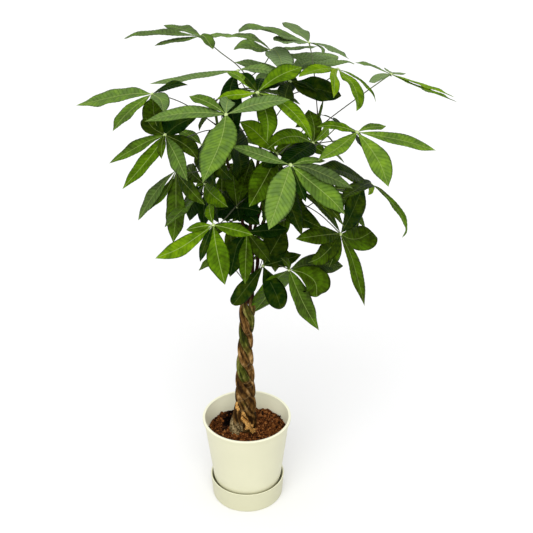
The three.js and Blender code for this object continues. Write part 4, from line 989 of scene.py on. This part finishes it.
def strand_shell(strand):
    """A tube round the strand's axis. Points further out than the trunk's outline, an ellipse, are
    drawn in: the share of its radius q becomes (q^-n + 1)^(-1/n). Streaks run along the strand, and
    its crease is painted dark as shade where it touches another. Above, it narrows to its shoot.
    Below, its colour is darker, and grey on the root at the left."""
    height = np.linspace(STEM_BOTTOM, TAPER_TO, STRAND_ROWS)
    width, _ = braid_at(height)
    taper = smooth_step(height, TAPER_FROM, TAPER_TO)
    shoot = SHOOT_PATHS[("front", "right", "left")[strand]]
    axis = points_at(shoot, height, shoot[:, 2])[:, :2]
    centre = strand_centre(strand, height)
    centre = centre + (axis - centre) * smooth_step(height, JOIN_FROM, TAPER_TO)[:, None]
    path = np.column_stack([centre, height])
    along = lengths_along(path)
    angle = np.arange(STRAND_SIDES) / STRAND_SIDES * 2 * np.pi
    local = np.stack(np.broadcast_arrays(14 * np.cos(angle)[None], 14 * np.sin(angle)[None],
                                         0.16 * along[:, None]), axis=-1)
    streak = rough(local, 6, 20 + strand)
    lumps = rough(local * [1, 1, 2.2], 9, 40 + strand, 2)
    scar = np.maximum(np.sin(along / 3.4 + 2 * strand), 0)**6 * (noise(path, 26, strand) > 0.1)
    radius = STRAND_RADIUS * width * (1 - taper) + 4.8 * taper
    bumps = (0.8 * streak + 0.9 * lumps + 0.35 * scar[:, None]) * (1 - taper)[:, None]
    rings = tube_rings(path, radius[:, None] + bumps, STRAND_SIDES, [0.0, 1.0, 0.0])
    level = rings[..., 2]
    flare = 1 + 0.1 * smooth_step(-level, -FLARE_FROM, -FLARE_TO)
    wide, off = braid_at(level)
    out = np.hypot((rings[..., 0] - off) / (TRUNK_HALF_WIDTH * wide * flare),
                   rings[..., 1] / (TRUNK_HALF_DEPTH * wide))
    drawn_in = (out**-7.0 + 1)**(-1 / 7) / out
    rings[..., 0] = off + (rings[..., 0] - off) * drawn_in
    rings[..., 1] *= drawn_in
    gap = np.min([np.linalg.norm(rings[..., :2] - strand_centre((strand + k) % 3, level), axis=-1)
                  for k in (1, 2)], axis=0) - STRAND_RADIUS * wide
    fade = 1 - taper[:, None]
    moss = np.interp(height, *zip(*STRAND_MOSS[strand]))[:, None]
    root = smooth_step(-level, -ROOT_FROM, -ROOT_TO) * (rings[..., 0] < ROOT_EDGE)
    streak = streak - 0.35 * smooth_step(-level, -DARK_FROM, -DARK_TO) * (1 - root)
    # crease marks the painted shade where the strand touches another.
    return shell(rings, crease=smooth_step(-gap, -4.5, 0.5) * fade, scar=scar[:, None] * fade,
                 moss=moss, streak=streak, peel=peeled(rings), shoot=(1 - fade) * 0.5, root=root)


print("points on a strand:", STRAND_ROWS * STRAND_SIDES)

# %% Shoots above the plait
SHOOT_SIDES = 14


def shoot_shell(name):
    """A shoot: a round tube, thinner upwards, with a swollen ring at each old leaf."""
    path = SHOOT_PATHS[name]
    first, last = SHOOTS[name][1]
    share = np.linspace(0, 1, len(path))
    knots = np.maximum(np.sin(lengths_along(path) / 9.0), 0)**8
    radius = (first + (last - first) * share + 0.45 * knots) * (1 - 0.6 * smooth_step(share, 0.97, 1))
    green = (0.5 + 0.5 * smooth_step(share, 0.5, 1))[:, None]
    rings = tube_rings(path, radius, SHOOT_SIDES, [1.0, 0.2, 0.0])
    return shell(rings, shoot=green, scar=knots[:, None] * 0.25)


for strand in range(3):
    shoots = [shoot_shell(name) for name in SHOOTS if SHOOTS[name][0] == strand]
    make_piece(f"trunk_{strand + 1}", [strand_shell(strand), *shoots], [BARK], [f"stem_{strand + 1}"])
print("with trunk:", sum(triangle_counts))

# %% [markdown]
# ## Pot and saucer
# Both are moulded in one satin cream plastic. They are turned shapes: an outline carried round
# the axis. A Screw modifier could turn them too, but rings of points are already the way of the
# other pieces, and they let the finish paint the inside and the rims paler, as painted light, and
# the saucer's outside darker, as painted shade. The outline's corners are rounded, because a
# moulded edge is never sharp and its thin highlight is what shows the rim; the rim's top is also
# painted paler, a painted highlight.

# %% Plastic
def plastic_finish():
    """Cream with a faint unevenness, a fine grain and a soft gloss, painted paler inside the pot and
    on the rims as painted light, and painted darker on the saucer's outside as painted shade.
    """
    f = Finish("cream_plastic")
    cloud = f.speckle(7)
    colour = f.blend(f.stretch(cloud, 0.3, 0.7), (0.600, 0.588, 0.415), (0.630, 0.618, 0.440))
    # Painted light: inside the pot and on the tops of the rims the colour is much paler.
    colour = f.blend(f.value("inside"), colour, (0.900, 0.890, 0.680))
    # Painted shade: the saucer's outside is darker.
    colour = f.blend(f.value("low"), colour, (0.480, 0.470, 0.310))
    grain = f.relief(f.speckle(1500, 2), 0.00012, 0.5)
    return f.skin(colour, f.stretch(cloud, 0.3, 0.7, 0.38, 0.46), Normal=grain)


PLASTIC = plastic_finish()
print("nodes in the plastic finish:", len(PLASTIC.node_tree.nodes))

# %% Turned outlines
TURNED_SIDES = 160


def rounded(outline, steps=6):
    """An outline of (radius, height, rounding) corners, each rounding an arc-like curve from one
    side to the other: (1-s)^2 a + 2 s (1-s) corner + s^2 b. A corner without rounding is one point."""
    outline = np.asarray(outline, float)
    corner, size = outline[:, :2], outline[:, 2:]
    a, b = (corner + unit(np.roll(corner, way, 0) - corner) * size for way in (1, -1))
    s = np.linspace(0, 1, steps)[None, :, None]
    curve = (1 - s)**2 * a[:, None] + 2 * s * (1 - s) * corner[:, None] + s**2 * b[:, None]
    curve = curve.reshape(-1, 2)
    moves = np.linalg.norm(np.diff(curve, axis=0), axis=1) > 1e-6
    return curve[np.concatenate([[True], moves])]


def turned(outline, share_outside, low=0.0):
    """A solid of revolution whose outline starts and ends near the axis: the ring at height z has
    points (r cos a, r sin a, z). The points after a share of the outline are marked as inside, for
    painted light that makes the inner wall and the rim's top paler; those before it are marked as
    low, by a given share, for painted shade that makes a shape darker where it stands close to the
    floor."""
    angle = np.arange(TURNED_SIDES) / TURNED_SIDES * 2 * np.pi
    outline = rounded(outline)
    r, z = outline[:, :1], outline[:, 1:]
    inside = (np.arange(len(outline)) > len(outline) * share_outside)[:, None]
    rings = np.stack([r * np.cos(angle), r * np.sin(angle), z + 0 * angle], axis=-1)
    return shell(rings, inside=inside, low=low * (1 - inside))


one_round_corner = rounded([(0, 0, 0), (5, 0, 1), (5, 5, 0)])
print("points of an outline with one rounded corner:", len(one_round_corner))

# %% Pot and saucer
POT_TOP, RIM_RADIUS, LIP_HEIGHT, LIP_STEP, POT_WALL = 263.0, 124.0, 7.0, 4.0, 3.0
POT_BOTTOM, POT_FLOOR = 3.3, 4.0
NECK = RIM_RADIUS - LIP_STEP
LIP_BOTTOM = POT_TOP - LIP_HEIGHT
POT_OUTLINE = [
    (0.5, POT_BOTTOM, 0), (90, POT_BOTTOM, 3), (90, 46, 5), (96.6, 62, 7), (NECK, LIP_BOTTOM, 0.6),
    (RIM_RADIUS, LIP_BOTTOM, 1.2), (RIM_RADIUS, POT_TOP, 1.8), (NECK - POT_WALL, POT_TOP, 1.8),
    (NECK - POT_WALL, LIP_BOTTOM, 2), (96, 70, 6), (87, 47, 4), (87, POT_BOTTOM + POT_FLOOR, 3),
    (0.5, POT_BOTTOM + POT_FLOOR, 0),
]
SAUCER_OUTLINE = [(0.5, 0, 0), (101, 0, 4), (106, 65, 1.6), (102.6, 65, 1.6), (98, 3, 6), (0.5, 3, 0)]
# Past 0.48 of the pot's outline, its rim's top and inner wall, and past 0.4 of the saucer's, its lip and
# inner wall, are painted paler as painted light; the rest of the saucer is painted darker as painted shade.
make_piece("planter", [turned(POT_OUTLINE, 0.48)], [PLASTIC], ["pot"])
make_piece("tray", [turned(SAUCER_OUTLINE, 0.4, 0.55)], [PLASTIC], ["saucer"])
print("with pot:", sum(triangle_counts))

# %% [markdown]
# ## Soil
# Potting soil is a bed of crumbs and bark chips. A bumpy sheet alone would look like cloth. So
# the bed is such a sheet on a solid block, and fifteen hundred odd-shaped crumbs of twenty faces
# each lie on it.

# %% Soil finish
def soil_finish():
    """Red-brown crumbs that differ from dark peat to tan chips, with near black specks as painted
    shade in the gaps, and painted shade in the pit left of the trunk.
    """
    f = Finish("potting_soil")
    grain = f.speckle(260, 5, 0.7)
    share = f.add(f.times(grain, 0.65), f.times(f.speckle(70), 0.2), f.value("chip"))
    colour = f.ramp(share, (0.30, 0.006, 0.002, 0.001), (0.42, 0.075, 0.022, 0.005),
                    (0.55, 0.290, 0.098, 0.022), (0.75, 0.560, 0.270, 0.090), (1.0, 0.700, 0.520, 0.300))
    return f.skin(colour, 0.92, 0.08, Normal=f.relief(grain, 0.003))


SOIL = soil_finish()
print("nodes in the soil finish:", len(SOIL.node_tree.nodes))

# %% Soil bed
SOIL_LEVEL = 210.0
SOIL_RADIUS = 113.0
SOIL_RELIEF = 2.5
SOIL_RINGS, SOIL_SIDES = 56, 200
PIT_X, PIT_Y, PIT_WIDTH, PIT_LENGTH, PIT_DEPTH = -52.0, 62.0, 14.0, 36.0, 26.0


def pit_share(x, y):
    """How deep in the pit left of the trunk a place is, from 0 to 1."""
    across, along = x - PIT_X - 0.2 * (y - PIT_Y), y - PIT_Y
    return np.exp(-((across / PIT_WIDTH)**2 + (along / PIT_LENGTH)**2)**1.5)


def soil_height(x, y):
    """Level of the soil: mounds at the right and in front, a pit left of the trunk, lumps, grit."""
    lumps = np.sin(x / 9 + 1.3 * np.sin(y / 13)) * np.cos(y / 8 - 0.9 * np.sin(x / 11))
    mound = 8 * np.exp(-((x - 62)**2 + (y - 40)**2) / 1800) + 6 * np.exp(-((x + 14)**2 + (y + 30)**2) / 700)
    flat = np.stack([x, y, 0 * x], axis=-1)
    return (SOIL_LEVEL + SOIL_RELIEF * lumps + mound - PIT_DEPTH * pit_share(x, y)
            + 3.0 * rough(flat, 9, 3) + 1.5 * rough(flat, 3, 4))


def soil_bed():
    """The bed as a turned block whose top rings follow soil_height."""
    angle = np.arange(SOIL_SIDES) / SOIL_SIDES * 2 * np.pi
    wall = np.array([[0.5, 7.6], [86.7, 7.6], [86.7, 47], [95.7, 70], [SOIL_RADIUS - 1, SOIL_LEVEL - 9]])
    r = np.concatenate([wall[:, 0], np.linspace(SOIL_RADIUS, 0.8, SOIL_RINGS)])[:, None]
    x, y = r * np.cos(angle), r * np.sin(angle)
    top = soil_height(x[len(wall):], y[len(wall):])
    z = np.concatenate([np.broadcast_to(wall[:, 1:], (len(wall), SOIL_SIDES)), top])
    # The pit left of the trunk is painted darker, as painted shade.
    return shell(np.stack([x, y, z], axis=-1), chip=-0.5 * pit_share(x, y))


print("level of the soil near the pot's wall:", soil_height(np.array([110.0]), np.array([0.0])).round(1))

# %% Crumbs
CRUMBS = 1500


def crumbs(rng):
    """Crumbs: copies of a 12-cornered ball, each squeezed, turned and set on the soil. In place of
    quads and ends, each of its triangles is a face of its own."""
    g = (1 + 5**0.5) / 2
    ball = unit([(-1, g, 0), (1, g, 0), (-1, -g, 0), (1, -g, 0), (0, -1, g), (0, 1, g), (0, -1, -g),
                 (0, 1, -g), (g, 0, -1), (g, 0, 1), (-g, 0, -1), (-g, 0, 1)])
    faces = np.array([(0, 11, 5), (0, 5, 1), (0, 1, 7), (0, 7, 10), (0, 10, 11), (1, 5, 9), (5, 11, 4),
                      (11, 10, 2), (10, 7, 6), (7, 1, 8), (3, 9, 4), (3, 4, 2), (3, 2, 6), (3, 6, 8),
                      (3, 8, 9), (4, 9, 5), (2, 4, 11), (6, 2, 10), (8, 6, 7), (9, 8, 1)])
    r = SOIL_RADIUS * 0.965 * np.sqrt(rng.uniform(0.06, 1, CRUMBS))
    angle = rng.uniform(0, 2 * np.pi, CRUMBS)
    x, y = r * np.cos(angle), r * np.sin(angle)
    size = rng.lognormal(1.05, 0.4, CRUMBS)[:, None]
    size = size * rng.uniform([0.7, 0.5, 0.4], [1.5, 1.0, 0.8], (CRUMBS, 3))
    turn = np.linalg.qr(rng.normal(size=(CRUMBS, 3, 3)))[0]
    turn[:, :, 0] *= np.sign(np.linalg.det(turn))[:, None]
    knobbly = ball[None] * (1 + 0.25 * rng.uniform(-1, 1, (CRUMBS, 12, 1)))
    points = np.einsum("nij,nkj->nki", turn, knobbly * size[:, None])
    points = points + np.stack([x, y, soil_height(x, y) + 0.5], axis=-1)[:, None]
    triangles = (faces[None] + 12 * np.arange(CRUMBS)[:, None, None]).reshape(-1, 3)
    chip = rng.uniform(-0.14, 0.2, CRUMBS) + 0.3 * (rng.uniform(size=CRUMBS) > 0.985)
    # Crumbs in the pit are painted darker as well, as painted shade.
    chip = np.repeat(chip - 0.5 * pit_share(x, y), 12)
    return {"points": points.reshape(-1, 3), "quads": np.zeros((0, 4), int), "caps": list(triangles),
            "finish": 0, "values": {"chip": chip}}


make_piece("soil_bed", [soil_bed(), crumbs(np.random.default_rng(11))], [SOIL], ["soil"])
print("with soil:", sum(triangle_counts))

# %% [markdown]
# ## Stage and light
# The photograph is cut out on white. A wide, nearly white floor and a white sky stand in for it,
# with one large soft lamp above and in front, so that the plant throws only a faint shadow.

# %% Floor, sky and lamp
FLOOR_SIZE = 30.0
SKY_STRENGTH = 0.85
LAMP_FROM, LAMP_STRENGTH, LAMP_SPREAD = (-0.12, -1.0, 0.8), 1.9, 60


def floor_finish():
    """Matt and nearly white, with a trace of unevenness."""
    f = Finish("pale_floor")
    return f.skin(f.blend(f.speckle(1.5, 2), (0.88, 0.88, 0.88), (0.9, 0.9, 0.9)), 0.9, 0.1)


floor_mesh = bpy.data.meshes.new("floor")
edge = FLOOR_SIZE / 2
floor_mesh.from_pydata([(-edge, -edge, 0), (edge, -edge, 0), (edge, edge, 0), (-edge, edge, 0)], [],
                       [(0, 1, 2, 3)])
floor_mesh.materials.append(floor_finish())
floor = add_object("floor", floor_mesh)

world = bpy.data.worlds.new("sky")
world.use_nodes = True
world.node_tree.nodes["Background"].inputs["Color"].default_value = (1.0, 1.0, 1.0, 1)
world.node_tree.nodes["Background"].inputs["Strength"].default_value = SKY_STRENGTH
bpy.context.scene.world = world

# A lamp so far off that its light is parallel, apart from the spread that a large lamp has
lamp_data = bpy.data.lights.new("key", "SUN")
lamp_data.energy = LAMP_STRENGTH
lamp_data.angle = math.radians(LAMP_SPREAD)
x, y, z = unit(LAMP_FROM)
add_object("key", lamp_data).rotation_euler = (math.acos(z), 0, math.atan2(x, -y))
bpy.context.scene.view_settings.view_transform = "Standard"
print("triangles in all:", sum(triangle_counts))
